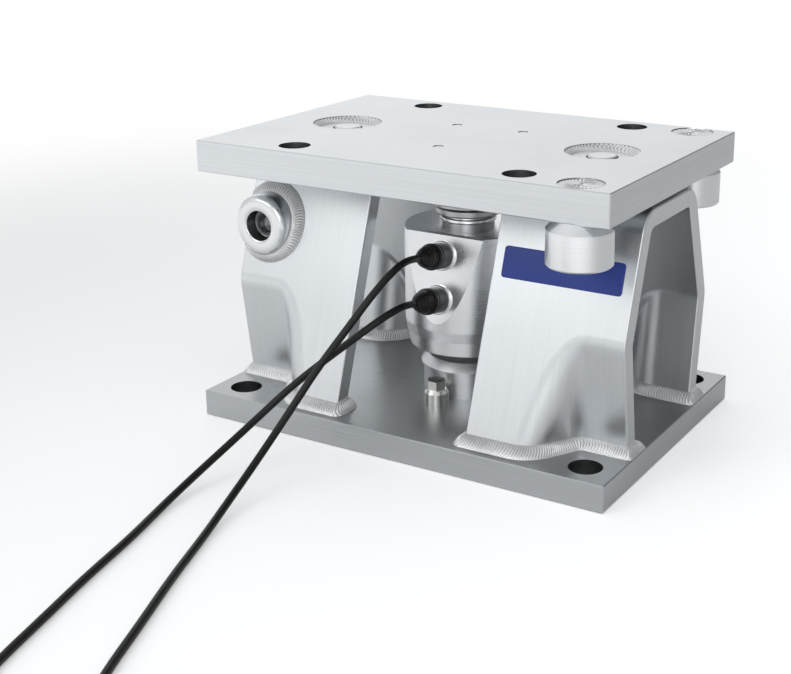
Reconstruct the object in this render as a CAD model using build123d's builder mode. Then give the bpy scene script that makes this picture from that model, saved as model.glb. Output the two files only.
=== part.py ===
from build123d import *

from math import atan, cos, pi, radians, sin, tan

# Weighing module for a tank foot. A top plate rests on a rocker load cell, and two
# formed brackets on the base plate hold it down and keep it from tipping.
# The frame's origin is the middle of the base plate's underside, with +X along the
# plates, +Y to the back and +Z up. All sizes are in millimetres.

# Base plate
base_length = 406
base_width = 278
base_thickness = 24
base_hole_radius = 14.5
base_hole_inset_x = 28
base_hole_inset_y = 26

# Top plate
top_length = 400
top_width = 270
top_thickness = 28
top_hole_radius = 14
top_hole_inset_x = 90
top_hole_inset_y = 25
plate_edge_break = 0.8

# Fits
press_gap = 0.1
slide_gap = 0.3

# Formed brackets: an inverted channel whose legs flare outward, with the lower outer
# corner of each leg pressed inward to clear the base bolts
bracket_end_inset = 7
bracket_cup_gap = 3.5
bracket_wall = 16
roof_clearance = 5.5
roof_half_width = 53.4
roof_bend_radius = 24
leg_flare = 18.8
press_height = 97
press_half_width = 76
press_length_right = 44
press_length_left = 53
press_wall_angle = 60
press_corner_radius = 16
crease_radius = 28
bracket_edge_radius = 1.5
trim_overrun = 20

# Fillet welds at the feet of the brackets
foot_weld_leg = 9
foot_weld_height = 8.5
foot_weld_lap = 0.8

# Boss on the left bracket's front leg
boss_end_inset = 27
boss_drop = 51.2
boss_radius = 28.2
boss_projection = 21
boss_edge_radius = 3.5
boss_bore_radius = 13.8
boss_bore_depth = 13
boss_hole_radius = 9
boss_weld_leg = 8.5

# Hold-down pins through the roofs of the brackets
pin_radius = 12.5
pin_proud = 1.5
pin_tail = 4
pin_play = 3.5
pin_relief_radius = 13.8
pin_relief_depth = 5
pin_chamfer = 1.2
disc_radius = 26
disc_sink = 5
disc_weld_radius = 32.5
disc_weld_depth = 14
lift_clearance = 3
washer_radius = 22
washer_thickness = 4
nut_across_flats = 36
nut_height = 19

# Jacking posts under the right end of the top plate
post_inset_x = 33.5
post_inset_y = 19.5
post_radius = 27
post_length = 37
post_shoulder_radius = 19.5
post_shoulder_height = 7.5
post_spigot_radius = 15
post_spigot_height = 16
post_weld_radius = 19
post_edge_break = 1.5

# Load cell housing
cell_radius = 58.5
cell_foot_radius = 54.5
cell_foot_height = 14
cell_bevel_height = 9.5
cell_bevel_radius = 57
cell_edge_break = 0.8
cell_cavity_radius = 34
cell_board_radius = 37
cell_floor_thickness = 10
cell_roof_thickness = 8
flat_offset = 43
flat_tilt = 10.93
flat_edge_break = 1.6

# Measuring column: a rocker pin with convex ends
column_foot_radius = 26
column_neck_radius = 24
column_head_radius = 22
column_length = 172
column_foot_reach = 29
column_head_reach = 32
column_neck_reach = 4
column_end_radius = 130
column_waist_width = 30
column_waist_corner = 3
column_shoulder = 4
column_taper = 8
column_waist_end = 2

# Rings on the neck of the column
lower_ring_radius = 26
lower_ring_height = 4.5
ring_groove_radius = 25
ring_groove_height = 2
upper_ring_radius = 30
upper_ring_height = 7
ring_edge_radius = 1.8

# Inside the load cell
board_thickness = 1.6
board_hole_radius = 24
board_drop = 32
gauge_width = 12
gauge_height = 18
gauge_thickness = 0.6

# Bearing cups
upper_cup_radius = 34.5
upper_cup_height = 33
upper_cup_edge = 1
upper_flange_thickness = 14
upper_flange_radius = 62.5
upper_recess_radius = 27
lower_cup_radius = 42
lower_cup_floor = 10
lower_rim_radius = 44
lower_rim_height = 24
lower_rim_thickness = 1.7
lower_cup_height = 33
lower_cup_top_radius = 37.3
lower_recess_radius = 32
bearing_disc_thickness = 6
seal_radius = 36.5
seal_waist_radius = 34

# Three screws through the top plate into the upper cup
cup_screw_radius = 4.65
cup_screw_circle_radius = 52
cup_screw_angles = (-90, 48.5, 131.5)
cup_screw_depth = 38
cup_screw_sink = 0.6

# Stop pin in front of the lower cup
stop_pin_distance = 58
stop_pin_radius = 11
stop_pin_height = 14.5
stop_pin_chamfer = 2
stop_pin_rise = 3
stop_pin_hex_height = 8.5
stop_pin_hex_flats = 15.2
stop_pin_shank_radius = 6
stop_pin_shank_length = 14
stop_pin_hole_spare = 1

# Cable glands on the inclined flat
gland_x = 0.5
upper_gland_drop = 19.5
gland_spacing = 38.9
gland_seat_radius = 13.25
gland_seat_thickness = 3
gland_seat_bevel = 0.8
gland_nut_radius = 11.6
gland_nut_length = 14
gland_nut_chamfer = 1
gland_spigot_radius = 7.8
gland_spigot_length = 7
boot_collar_radius = 11.9
boot_collar_length = 6
boot_collar_round = 0.8
boot_shoulder_radius = 10.3
boot_waist_radius = 9
boot_waist_length = 7.2
boot_cone_length = 12
boot_cone_radius = 6.8
boot_length = 24
boot_tip_radius = 3.9

# Cables, with a coil and a round plug at the end of each
cable_radius = 3.2
upper_lead_out = 14
lower_lead_out = 13
coil_turn_radius = 37.5
coil_columns = 4
coil_layers = 2
coil_slack = 0.2
coil_stub = 25
coil_leave_angle = 8
plug_stub = 40
plug_tail_radius = 4.2
plug_tail_length = 9
plug_body_radius = 8
plug_body_length = 30
plug_grip_radius = 9.2
plug_grip_length = 12
plug_core_radius = 7
plug_nut_radius = 9.6
plug_nut_length = 16
plug_core_recess = 4

# The stack of heights through the load cell, which sets the height of the module
lower_recess_bottom = base_thickness + lower_cup_floor
column_bottom = lower_recess_bottom + bearing_disc_thickness
column_top = column_bottom + column_length
upper_recess_top = column_top + bearing_disc_thickness
top_underside = upper_recess_top + upper_flange_thickness
total_height = top_underside + top_thickness
cell_bottom = column_bottom + column_foot_reach
cell_top = column_top - column_head_reach
cell_foot_top = cell_bottom + cell_foot_height
cell_bevel_top = cell_foot_top + cell_bevel_height
cavity_bottom = cell_bottom + cell_floor_thickness
cavity_top = cell_top - cell_roof_thickness
neck_top = cell_top + column_neck_reach
board_height = cell_top - board_drop
upper_cup_bottom = top_underside - upper_cup_height
upper_cup_shoulder = top_underside - upper_flange_thickness
lower_rim_bottom = base_thickness + lower_rim_height
lower_cup_top = base_thickness + lower_cup_height

# Places that several pieces share
base_hole_spacing_x = base_length - 2 * base_hole_inset_x
base_hole_spacing_y = base_width - 2 * base_hole_inset_y
top_hole_spacing_x = top_length - 2 * top_hole_inset_x
top_hole_spacing_y = top_width - 2 * top_hole_inset_y
post_x = top_length / 2 - post_inset_x
post_y = top_width / 2 - post_inset_y
stop_pin_y = -stop_pin_distance

# Faces of the brackets and of the flat on the load cell
roof_top = top_underside - roof_clearance
roof_underside = roof_top - bracket_wall
bracket_outer_x = base_length / 2 - bracket_end_inset
bracket_inner_x = upper_flange_radius + bracket_cup_gap
bracket_length = bracket_outer_x - bracket_inner_x
bracket_centre = (bracket_inner_x + bracket_outer_x) / 2
press_corner_x_right = bracket_outer_x - press_length_right
press_corner_x_left = bracket_outer_x - press_length_left
knee_height = base_thickness + press_height
flare_slope = tan(radians(leg_flare))
knee_half_width = roof_half_width + (roof_top - knee_height) * flare_slope
press_slope = (knee_half_width - press_half_width) / press_height
boss_x = boss_end_inset - bracket_outer_x
boss_height = roof_top - boss_drop
boss_foot_y = roof_half_width + boss_drop * flare_slope
boss_reach = boss_foot_y + boss_projection
flat_slope = tan(radians(flat_tilt))
flat_normal = Vector(0, -cos(radians(flat_tilt)), sin(radians(flat_tilt)))
upper_gland_height = cell_top - upper_gland_drop
lower_gland_height = upper_gland_height - gland_spacing
end_names = (("left", -1), ("right", 1))
leg_names = (("front", -1), ("back", 1))


def save(piece, name):
    """Label a finished piece and write it under its own name."""
    piece.label = name
    export_step(piece, "parts/" + name + ".step")


def filled_bracket(inset, overrun, press_corner_x):
    """The right bracket as a solid block, with every face moved inward by inset."""
    bottom = base_thickness - 3 * bracket_wall
    bottom_half_width = roof_half_width + (roof_top - bottom) * flare_slope
    end_x = bracket_outer_x + overrun
    with BuildPart() as block:
        with BuildSketch(Plane.YZ.offset(bracket_inner_x - overrun)):
            with BuildLine():
                Polyline(
                    (-bottom_half_width, bottom),
                    (-roof_half_width, roof_top),
                    (roof_half_width, roof_top),
                    (bottom_half_width, bottom),
                    close=True,
                )
            make_face()
            fillet(vertices().group_by(Axis.Y)[-1], roof_bend_radius)
            if inset:
                offset(amount=-inset)
        extrude(amount=bracket_length + 2 * overrun)
        for side in (-1, 1):
            # The press tool is a prism that leans along the pressed face of the leg
            foot = Vector(press_corner_x, side * press_half_width, base_thickness)
            knee = Vector(press_corner_x, side * knee_half_width, knee_height)
            depth = bracket_length
            with BuildSketch(Plane(origin=foot, x_dir=(1, 0, 0), z_dir=knee - foot)):
                with BuildLine():
                    Polyline(
                        (0, 0),
                        (depth, 0),
                        (depth, side * depth),
                        (-depth / tan(radians(press_wall_angle)), side * depth),
                        close=True,
                    )
                make_face()
                fillet(vertices().sort_by_distance((0, 0))[0], press_corner_radius)
                if inset:
                    offset(amount=inset)
            extrude(amount=2 * press_height, both=True, mode=Mode.SUBTRACT)
            # The crease between the flared face and the press is bent, not sharp
            leg_face = Plane(
                origin=(0, side * roof_half_width, roof_top),
                z_dir=(0, side, flare_slope),
            ).offset(-inset)
            creases = [
                edge
                for edge in block.edges(Select.LAST)
                if abs(leg_face.to_local_coords(edge @ 0.5).Z) < 0.01
                and (edge @ 0.5).X < end_x - 0.1
                and (edge @ 0.5).Z > base_thickness - 2 * bracket_wall
            ]
            fillet(creases, crease_radius - inset)
    return block.part


def formed_bracket(press_corner_x):
    """The right bracket: two filled blocks, one a plate thickness inside the other."""
    with BuildPart() as bracket:
        add(filled_bracket(0, 0, press_corner_x))
        add(filled_bracket(bracket_wall, trim_overrun, press_corner_x), mode=Mode.SUBTRACT)
        split(bisect_by=Plane.XY.offset(base_thickness), keep=Keep.TOP)
        end_edges = [
            edge
            for face in bracket.faces().filter_by(Axis.X)
            for edge in face.edges()
            if face.area > bracket_wall**2 and edge.center().Z > base_thickness + press_gap
        ]
        fillet(end_edges, bracket_edge_radius)
        with Locations((bracket_centre, 0, roof_top)):
            Hole(pin_radius + pin_play, depth=bracket_wall)
    return bracket.part


def leg_line(height, press_corner_x, inner_reach, outer_reach):
    """Corner points of the middle of a leg's plate at one height, front leg positive."""
    half_wall = bracket_wall / 2
    flare_y = roof_half_width + (roof_top - height) * flare_slope
    flare_y -= half_wall / cos(radians(leg_flare))
    press_y = press_half_width + (height - base_thickness) * press_slope
    press_y -= half_wall / cos(atan(press_slope))
    corner_x = press_corner_x - half_wall * tan(radians(press_wall_angle / 2))
    crease_x = corner_x - (flare_y - press_y) / tan(radians(press_wall_angle))
    return (
        (bracket_inner_x - inner_reach, flare_y),
        (crease_x, flare_y),
        (corner_x, press_y),
        (bracket_outer_x + outer_reach, press_y),
    )


def foot_weld(bracket, press_corner_x, side):
    """The bead that runs all round one foot of the right bracket."""
    outer_reach = min(foot_weld_leg, base_length / 2 - bracket_outer_x)
    levels = (
        (base_thickness, foot_weld_leg, foot_weld_leg, outer_reach),
        (base_thickness + foot_weld_height, foot_weld_lap, foot_weld_lap, foot_weld_lap),
    )
    bends = (crease_radius - bracket_wall / 2, press_corner_radius + bracket_wall / 2)
    with BuildPart() as weld:
        for height, grow, inner_reach, outer in levels:
            points = leg_line(height, press_corner_x, inner_reach, outer)
            with BuildSketch(Plane.XY.offset(height)):
                with BuildLine():
                    FilletPolyline([(x, side * y) for x, y in points], radius=bends)
                trace(line_width=bracket_wall + 2 * grow)
        loft(ruled=True)
        add(bracket, mode=Mode.SUBTRACT)
    return weld.part


# Base plate, with its four anchor holes and the threaded hole of the stop pin
with BuildPart() as base_plate:
    with BuildSketch():
        Rectangle(base_length, base_width)
    extrude(amount=base_thickness)
    chamfer(base_plate.edges(), plate_edge_break)
    with GridLocations(base_hole_spacing_x, base_hole_spacing_y, 2, 2):
        with Locations((0, 0, base_thickness)):
            Hole(base_hole_radius, depth=base_thickness)
    with Locations((0, stop_pin_y, base_thickness)):
        Hole(stop_pin_shank_radius + press_gap, depth=stop_pin_shank_length + stop_pin_hole_spare)
save(base_plate.part, "base_plate")

# Top plate, with its four bolt holes and the seats of pins, posts and screws
with BuildPart() as top_plate:
    with BuildSketch(Plane.XY.offset(top_underside)):
        Rectangle(top_length, top_width)
    extrude(amount=top_thickness)
    chamfer(top_plate.edges(), plate_edge_break)
    with Locations((0, 0, total_height)):
        with GridLocations(top_hole_spacing_x, top_hole_spacing_y, 2, 2):
            Hole(top_hole_radius, depth=top_thickness)
        for angle in cup_screw_angles:
            with PolarLocations(cup_screw_circle_radius, 1, start_angle=angle):
                Hole(cup_screw_radius + press_gap, depth=top_thickness)
        with GridLocations(2 * bracket_centre, 0, 2, 1):
            Hole(disc_radius + press_gap, depth=top_thickness)
        with Locations((post_x, -post_y), (post_x, post_y)):
            Hole(post_spigot_radius + press_gap, depth=top_thickness)
    for sign in (-1, 1):
        with BuildSketch(Plane((sign * bracket_centre, 0, total_height))):
            Circle(disc_weld_radius)
        with BuildSketch(Plane((sign * bracket_centre, 0, total_height - disc_weld_depth))):
            Circle(disc_radius + press_gap)
        loft(mode=Mode.SUBTRACT)
        with BuildSketch(Plane((post_x, sign * post_y, total_height))):
            Circle(post_weld_radius)
        with BuildSketch(Plane((post_x, sign * post_y, top_underside + post_spigot_height))):
            Circle(post_spigot_radius + press_gap)
        loft(mode=Mode.SUBTRACT)
save(top_plate.part, "top_plate")

# The two formed brackets, the left one mirrored and drilled for its boss
right_form = formed_bracket(press_corner_x_right)
left_form = formed_bracket(press_corner_x_left)
with BuildPart() as right_bracket:
    add(right_form)
save(right_bracket.part, "right_bracket")

with BuildPart() as left_bracket:
    mirror(left_form, about=Plane.YZ)
    with BuildSketch(Plane.XZ):
        with Locations((boss_x, boss_height)):
            Circle(boss_hole_radius)
    extrude(amount=boss_reach, mode=Mode.SUBTRACT)
save(left_bracket.part, "left_bracket")

# Fillet welds round the four feet
for leg, side in leg_names:
    with BuildPart() as right_weld:
        add(foot_weld(right_form, press_corner_x_right, side))
    save(right_weld.part, "right_" + leg + "_foot_weld")
    with BuildPart() as left_weld:
        mirror(foot_weld(left_form, press_corner_x_left, side), about=Plane.YZ)
    save(left_weld.part, "left_" + leg + "_foot_weld")

# Boss on the front leg of the left bracket, with a stepped bore
left_block = filled_bracket(0, trim_overrun, press_corner_x_left).mirror(Plane.YZ)
with BuildPart() as side_boss:
    with BuildSketch(Plane.XZ.offset(boss_reach)):
        with Locations((boss_x, boss_height)):
            Circle(boss_radius)
    extrude(amount=-boss_reach / 2)
    fillet(side_boss.edges().filter_by(GeomType.CIRCLE).sort_by(Axis.Y)[0], boss_edge_radius)
    add(left_block, mode=Mode.SUBTRACT)
    with Locations(Plane((boss_x, -boss_reach, boss_height), z_dir=(0, -1, 0))):
        CounterBoreHole(boss_hole_radius, boss_bore_radius, boss_bore_depth, depth=boss_reach)
save(side_boss.part, "side_boss")

# Bead round the boss, square to the leg and ended at the edge of the bracket
with BuildPart() as boss_weld:
    leg_plane = Plane((boss_x, -boss_foot_y, boss_height), z_dir=(0, -1, flare_slope))
    with BuildSketch(leg_plane):
        Circle(boss_radius + boss_weld_leg)
    with BuildSketch(leg_plane.offset(boss_weld_leg)):
        Circle(boss_radius)
    loft()
    with BuildSketch(Plane.XZ.offset(boss_reach)):
        with Locations((boss_x, boss_height)):
            Circle(boss_radius)
    extrude(amount=-boss_reach, mode=Mode.SUBTRACT)
    split(bisect_by=Plane.YZ.offset(-bracket_outer_x), keep=Keep.TOP)
save(boss_weld.part, "side_boss_weld")

# Hold-down pins: each one is threaded into a disc that is welded into the top plate,
# hangs through the roof of its bracket and ends in a washer and nut below it
washer_top = roof_underside - lift_clearance
nut_top = washer_top - washer_thickness
nut_bottom = nut_top - nut_height
disc_top = total_height - disc_sink
pin_top = disc_top + pin_proud
for end, sign in end_names:
    pin_x = sign * bracket_centre
    with BuildPart() as disc:
        with BuildSketch(Plane((pin_x, 0, top_underside))):
            Circle(disc_radius)
        extrude(amount=disc_top - top_underside)
        with Locations((pin_x, 0, disc_top)):
            CounterBoreHole(pin_radius + press_gap, pin_relief_radius, pin_relief_depth)
    save(disc.part, end + "_hold_down_disc")

    with BuildPart() as disc_weld:
        with BuildSketch(Plane((pin_x, 0, 0), x_dir=(1, 0, 0), z_dir=(0, -1, 0))):
            with BuildLine():
                Polyline(
                    (disc_radius, disc_top),
                    (disc_weld_radius, total_height),
                    (disc_radius + press_gap, total_height - disc_weld_depth),
                    (disc_radius, total_height - disc_weld_depth),
                    close=True,
                )
            make_face()
        revolve(axis=Axis((pin_x, 0, 0), (0, 0, 1)))
    save(disc_weld.part, end + "_hold_down_weld")

    with BuildPart() as pin:
        with BuildSketch(Plane((pin_x, 0, nut_bottom - pin_tail))):
            Circle(pin_radius)
        extrude(amount=pin_top - nut_bottom + pin_tail)
        chamfer(pin.edges().filter_by(GeomType.CIRCLE), pin_chamfer)
    save(pin.part, end + "_hold_down_pin")

    with BuildPart() as washer:
        with BuildSketch(Plane((pin_x, 0, nut_top))):
            Circle(washer_radius)
            Circle(pin_radius + slide_gap, mode=Mode.SUBTRACT)
        extrude(amount=washer_thickness)
    save(washer.part, end + "_hold_down_washer")

    with BuildPart() as nut:
        with BuildSketch(Plane((pin_x, 0, nut_bottom))):
            RegularPolygon(nut_across_flats / 2, 6, major_radius=False)
            Circle(pin_radius + press_gap, mode=Mode.SUBTRACT)
        extrude(amount=nut_height)
    save(nut.part, end + "_hold_down_nut")

# Jacking posts, each with a spigot that is plug welded from above
post_bottom = top_underside - post_length
for leg, side in leg_names:
    post_axis = Axis((post_x, side * post_y, 0), (0, 0, 1))
    post_section = Plane((post_x, side * post_y, 0), x_dir=(1, 0, 0), z_dir=(0, -1, 0))
    spigot_top = top_underside + post_spigot_height
    with BuildPart() as post:
        with BuildSketch(post_section):
            with BuildLine():
                Polyline(
                    (0, post_bottom),
                    (post_radius - post_edge_break, post_bottom),
                    (post_radius, post_bottom + post_edge_break),
                    (post_radius, top_underside - post_shoulder_height),
                    (post_shoulder_radius, top_underside),
                    (post_spigot_radius, top_underside),
                    (post_spigot_radius, spigot_top),
                    (0, spigot_top),
                    close=True,
                )
            make_face()
        revolve(axis=post_axis)
    save(post.part, leg + "_jacking_post")

    with BuildPart() as post_weld:
        with BuildSketch(post_section):
            with BuildLine():
                Polyline(
                    (0, spigot_top),
                    (post_spigot_radius + press_gap, spigot_top),
                    (post_weld_radius, total_height),
                    (0, total_height),
                    close=True,
                )
            make_face()
        revolve(axis=post_axis)
    save(post_weld.part, leg + "_post_plug_weld")

# Load cell housing: a turned can with a stepped foot, an inclined flat for the two
# glands and a bored cavity round the measuring column
flat_plane = Plane((0, -flat_offset, cell_top), x_dir=(1, 0, 0), z_dir=flat_normal)
gland_planes = []
for height in (upper_gland_height, lower_gland_height):
    flat_y = -flat_offset - (cell_top - height) * flat_slope
    gland_planes.append(Plane((gland_x, flat_y, height), x_dir=(1, 0, 0), z_dir=flat_normal))

with BuildPart() as cell_housing:
    with BuildSketch(Plane.XZ):
        with BuildLine():
            Polyline(
                (0, cell_bottom),
                (cell_foot_radius, cell_bottom),
                (cell_foot_radius, cell_foot_top),
                (cell_bevel_radius, cell_foot_top),
                (cell_radius, cell_bevel_top),
                (cell_radius, cell_top),
                (0, cell_top),
                close=True,
            )
        make_face()
    revolve(axis=Axis.Z)
    with BuildSketch(flat_plane):
        Rectangle(3 * cell_radius, 4 * cell_radius)
    extrude(amount=cell_radius, mode=Mode.SUBTRACT)
    chamfer(cell_housing.edges().filter_by(GeomType.LINE).sort_by(Axis.Z)[-1], flat_edge_break)
    rim = cell_housing.faces().sort_by(Axis.Z)[-1].edges().filter_by(GeomType.CIRCLE)
    chamfer(rim, cell_edge_break)
    foot_rim = cell_housing.faces().sort_by(Axis.Z)[0].edges()
    chamfer(foot_rim, cell_edge_break)
    with BuildSketch(Plane.XZ):
        with BuildLine():
            Polyline(
                (0, cell_bottom),
                (column_foot_radius + press_gap, cell_bottom),
                (column_foot_radius + press_gap, cavity_bottom),
                (cell_cavity_radius, cavity_bottom),
                (cell_cavity_radius, board_height),
                (cell_board_radius, board_height),
                (cell_board_radius, cavity_top),
                (column_neck_radius + press_gap, cavity_top),
                (column_neck_radius + press_gap, cell_top),
                (0, cell_top),
                close=True,
            )
        make_face()
    revolve(axis=Axis.Z, mode=Mode.SUBTRACT)
    for gland_plane in gland_planes:
        with BuildSketch(gland_plane):
            Circle(gland_spigot_radius + press_gap)
        extrude(amount=-cell_radius / 2, mode=Mode.SUBTRACT)
save(cell_housing.part, "cell_housing")

# Measuring column, turned with crowned ends and milled square at its waist
waist_bottom = cavity_bottom + column_shoulder + column_taper
waist_top = cavity_top - column_shoulder - column_taper
waist_radius = column_waist_width / 2**0.5
crown = column_end_radius
foot_drop = crown - (crown**2 - column_foot_radius**2) ** 0.5
head_drop = crown - (crown**2 - column_head_radius**2) ** 0.5
foot_corner = (column_foot_radius, column_bottom + foot_drop)
head_corner = (column_head_radius, column_top - head_drop)
with BuildPart() as measuring_column:
    with BuildSketch(Plane.XZ):
        with BuildLine():
            RadiusArc((0, column_bottom), foot_corner, -crown)
            Polyline(
                foot_corner,
                (column_foot_radius, cavity_bottom + column_shoulder),
                (waist_radius, waist_bottom),
                (waist_radius, waist_top),
                (column_neck_radius, cavity_top - column_shoulder),
                (column_neck_radius, neck_top),
                (column_head_radius, neck_top),
                head_corner,
            )
            RadiusArc(head_corner, (0, column_top), -crown)
            Line((0, column_top), (0, column_bottom))
        make_face()
    revolve(axis=Axis.Z)
    with BuildSketch(Plane.XY.offset(waist_bottom + column_waist_end)):
        Circle(column_foot_radius)
        RectangleRounded(
            column_waist_width, column_waist_width, column_waist_corner, mode=Mode.SUBTRACT
        )
    extrude(amount=waist_top - waist_bottom - 2 * column_waist_end, mode=Mode.SUBTRACT)
save(measuring_column.part, "measuring_column")

# Strain gauges, one on each face of the waist
gauge_middle = (cavity_bottom + cavity_top) / 2
with BuildPart() as strain_gauges:
    for turn in range(4):
        outward = Vector(1, 0, 0).rotate(Axis.Z, 90 * turn)
        face_middle = outward * (column_waist_width / 2) + Vector(0, 0, gauge_middle)
        with BuildSketch(Plane(face_middle, x_dir=(0, 0, 1), z_dir=outward)):
            Rectangle(gauge_height, gauge_width)
        extrude(amount=gauge_thickness)
save(strain_gauges.part, "strain_gauges")

# Circuit board, a ring that lies on the step in the cavity
with BuildPart() as circuit_board:
    with BuildSketch(Plane.XY.offset(board_height)):
        Circle(cell_board_radius - slide_gap)
        Circle(board_hole_radius, mode=Mode.SUBTRACT)
    extrude(amount=board_thickness)
save(circuit_board.part, "circuit_board")

# Two bright rings on the neck of the column, one on the other
lower_ring_top = neck_top + lower_ring_height
upper_ring_bottom = lower_ring_top + ring_groove_height
with BuildPart() as lower_neck_ring:
    with BuildSketch(Plane.XY.offset(neck_top)):
        Circle(lower_ring_radius)
        Circle(column_head_radius + press_gap, mode=Mode.SUBTRACT)
    extrude(amount=lower_ring_height)
    fillet(
        lower_neck_ring.edges().filter_by(GeomType.CIRCLE).sort_by(SortBy.RADIUS)[-2:],
        ring_edge_radius,
    )
    with BuildSketch(Plane.XY.offset(lower_ring_top)):
        Circle(ring_groove_radius - ring_edge_radius)
        Circle(column_head_radius + press_gap, mode=Mode.SUBTRACT)
    extrude(amount=ring_groove_height)
save(lower_neck_ring.part, "lower_neck_ring")

with BuildPart() as upper_neck_ring:
    with BuildSketch(Plane.XY.offset(upper_ring_bottom)):
        Circle(upper_ring_radius)
        Circle(column_head_radius + press_gap, mode=Mode.SUBTRACT)
    extrude(amount=upper_ring_height)
    fillet(
        upper_neck_ring.edges().filter_by(GeomType.CIRCLE).sort_by(SortBy.RADIUS)[-2:],
        ring_edge_radius,
    )
save(upper_neck_ring.part, "upper_neck_ring")

# Upper bearing cup, a flanged cup under the top plate, and its hardened disc
with BuildPart() as upper_bearing_cup:
    with BuildSketch(Plane.XZ):
        with BuildLine():
            Polyline(
                (upper_recess_radius, upper_cup_bottom),
                (upper_cup_radius - upper_cup_edge, upper_cup_bottom),
                (upper_cup_radius, upper_cup_bottom + upper_cup_edge),
                (upper_cup_radius, upper_cup_shoulder),
                (upper_flange_radius, upper_cup_shoulder),
                (upper_flange_radius, top_underside),
                (0, top_underside),
                (0, upper_recess_top),
                (upper_recess_radius, upper_recess_top),
                close=True,
            )
        make_face()
    revolve(axis=Axis.Z)
    with Locations((0, 0, top_underside)):
        for angle in cup_screw_angles:
            with PolarLocations(cup_screw_circle_radius, 1, start_angle=angle):
                Hole(cup_screw_radius + press_gap, depth=top_underside - upper_cup_shoulder)
save(upper_bearing_cup.part, "upper_bearing_cup")

with BuildPart() as upper_bearing_disc:
    with BuildSketch(Plane.XY.offset(column_top)):
        Circle(upper_recess_radius - press_gap)
    extrude(amount=bearing_disc_thickness)
save(upper_bearing_disc.part, "upper_bearing_disc")

# Lower bearing cup on the base plate, its hardened disc and the rubber seal above it
with BuildPart() as lower_bearing_cup:
    with BuildSketch(Plane.XZ):
        with BuildLine():
            Polyline(
                (0, base_thickness),
                (lower_cup_radius, base_thickness),
                (lower_cup_radius, lower_rim_bottom),
                (lower_rim_radius, lower_rim_bottom),
                (lower_rim_radius, lower_rim_bottom + lower_rim_thickness),
                (lower_cup_top_radius, lower_cup_top),
                (lower_recess_radius, lower_cup_top),
                (lower_recess_radius, lower_recess_bottom),
                (0, lower_recess_bottom),
                close=True,
            )
        make_face()
    revolve(axis=Axis.Z)
save(lower_bearing_cup.part, "lower_bearing_cup")

with BuildPart() as lower_bearing_disc:
    with BuildSketch(Plane.XY.offset(lower_recess_bottom)):
        Circle(lower_recess_radius - press_gap)
    extrude(amount=bearing_disc_thickness)
save(lower_bearing_disc.part, "lower_bearing_disc")

seal_middle = (lower_cup_top + cell_bottom) / 2
seal_bore_radius = column_foot_radius + slide_gap
with BuildPart() as lower_seal:
    with BuildSketch(Plane.XZ):
        with BuildLine():
            Polyline(
                (seal_radius, cell_bottom),
                (seal_bore_radius, cell_bottom),
                (seal_bore_radius, lower_cup_top),
                (seal_radius, lower_cup_top),
            )
            ThreePointArc(
                (seal_radius, lower_cup_top),
                (seal_waist_radius, seal_middle),
                (seal_radius, cell_bottom),
            )
        make_face()
    revolve(axis=Axis.Z)
save(lower_seal.part, "lower_seal")

# Screws that hold the upper cup, flush with the top of the plate
with BuildPart() as cup_screws:
    for angle in cup_screw_angles:
        with BuildSketch(Plane.XY.offset(total_height - cup_screw_depth)):
            with PolarLocations(cup_screw_circle_radius, 1, start_angle=angle):
                Circle(cup_screw_radius)
        extrude(amount=cup_screw_depth - cup_screw_sink)
save(cup_screws.part, "cup_screws")

# Stop pin, screwed into the base in front of the lower cup
stop_pin_top = base_thickness + stop_pin_height
with BuildPart() as stop_pin:
    with BuildSketch(Plane((0, stop_pin_y, base_thickness))):
        Circle(stop_pin_radius)
    extrude(amount=stop_pin_height)
    top_rim = stop_pin.edges().filter_by(GeomType.CIRCLE).sort_by(Axis.Z)[-1]
    chamfer(top_rim, stop_pin_rise, stop_pin_chamfer)
    with BuildSketch(Plane((0, stop_pin_y, stop_pin_top))):
        RegularPolygon(stop_pin_hex_flats / 2, 6, major_radius=False)
    extrude(amount=stop_pin_hex_height)
    with BuildSketch(Plane((0, stop_pin_y, base_thickness))):
        Circle(stop_pin_shank_radius)
    extrude(amount=-stop_pin_shank_length)
save(stop_pin.part, "stop_pin")

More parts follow.
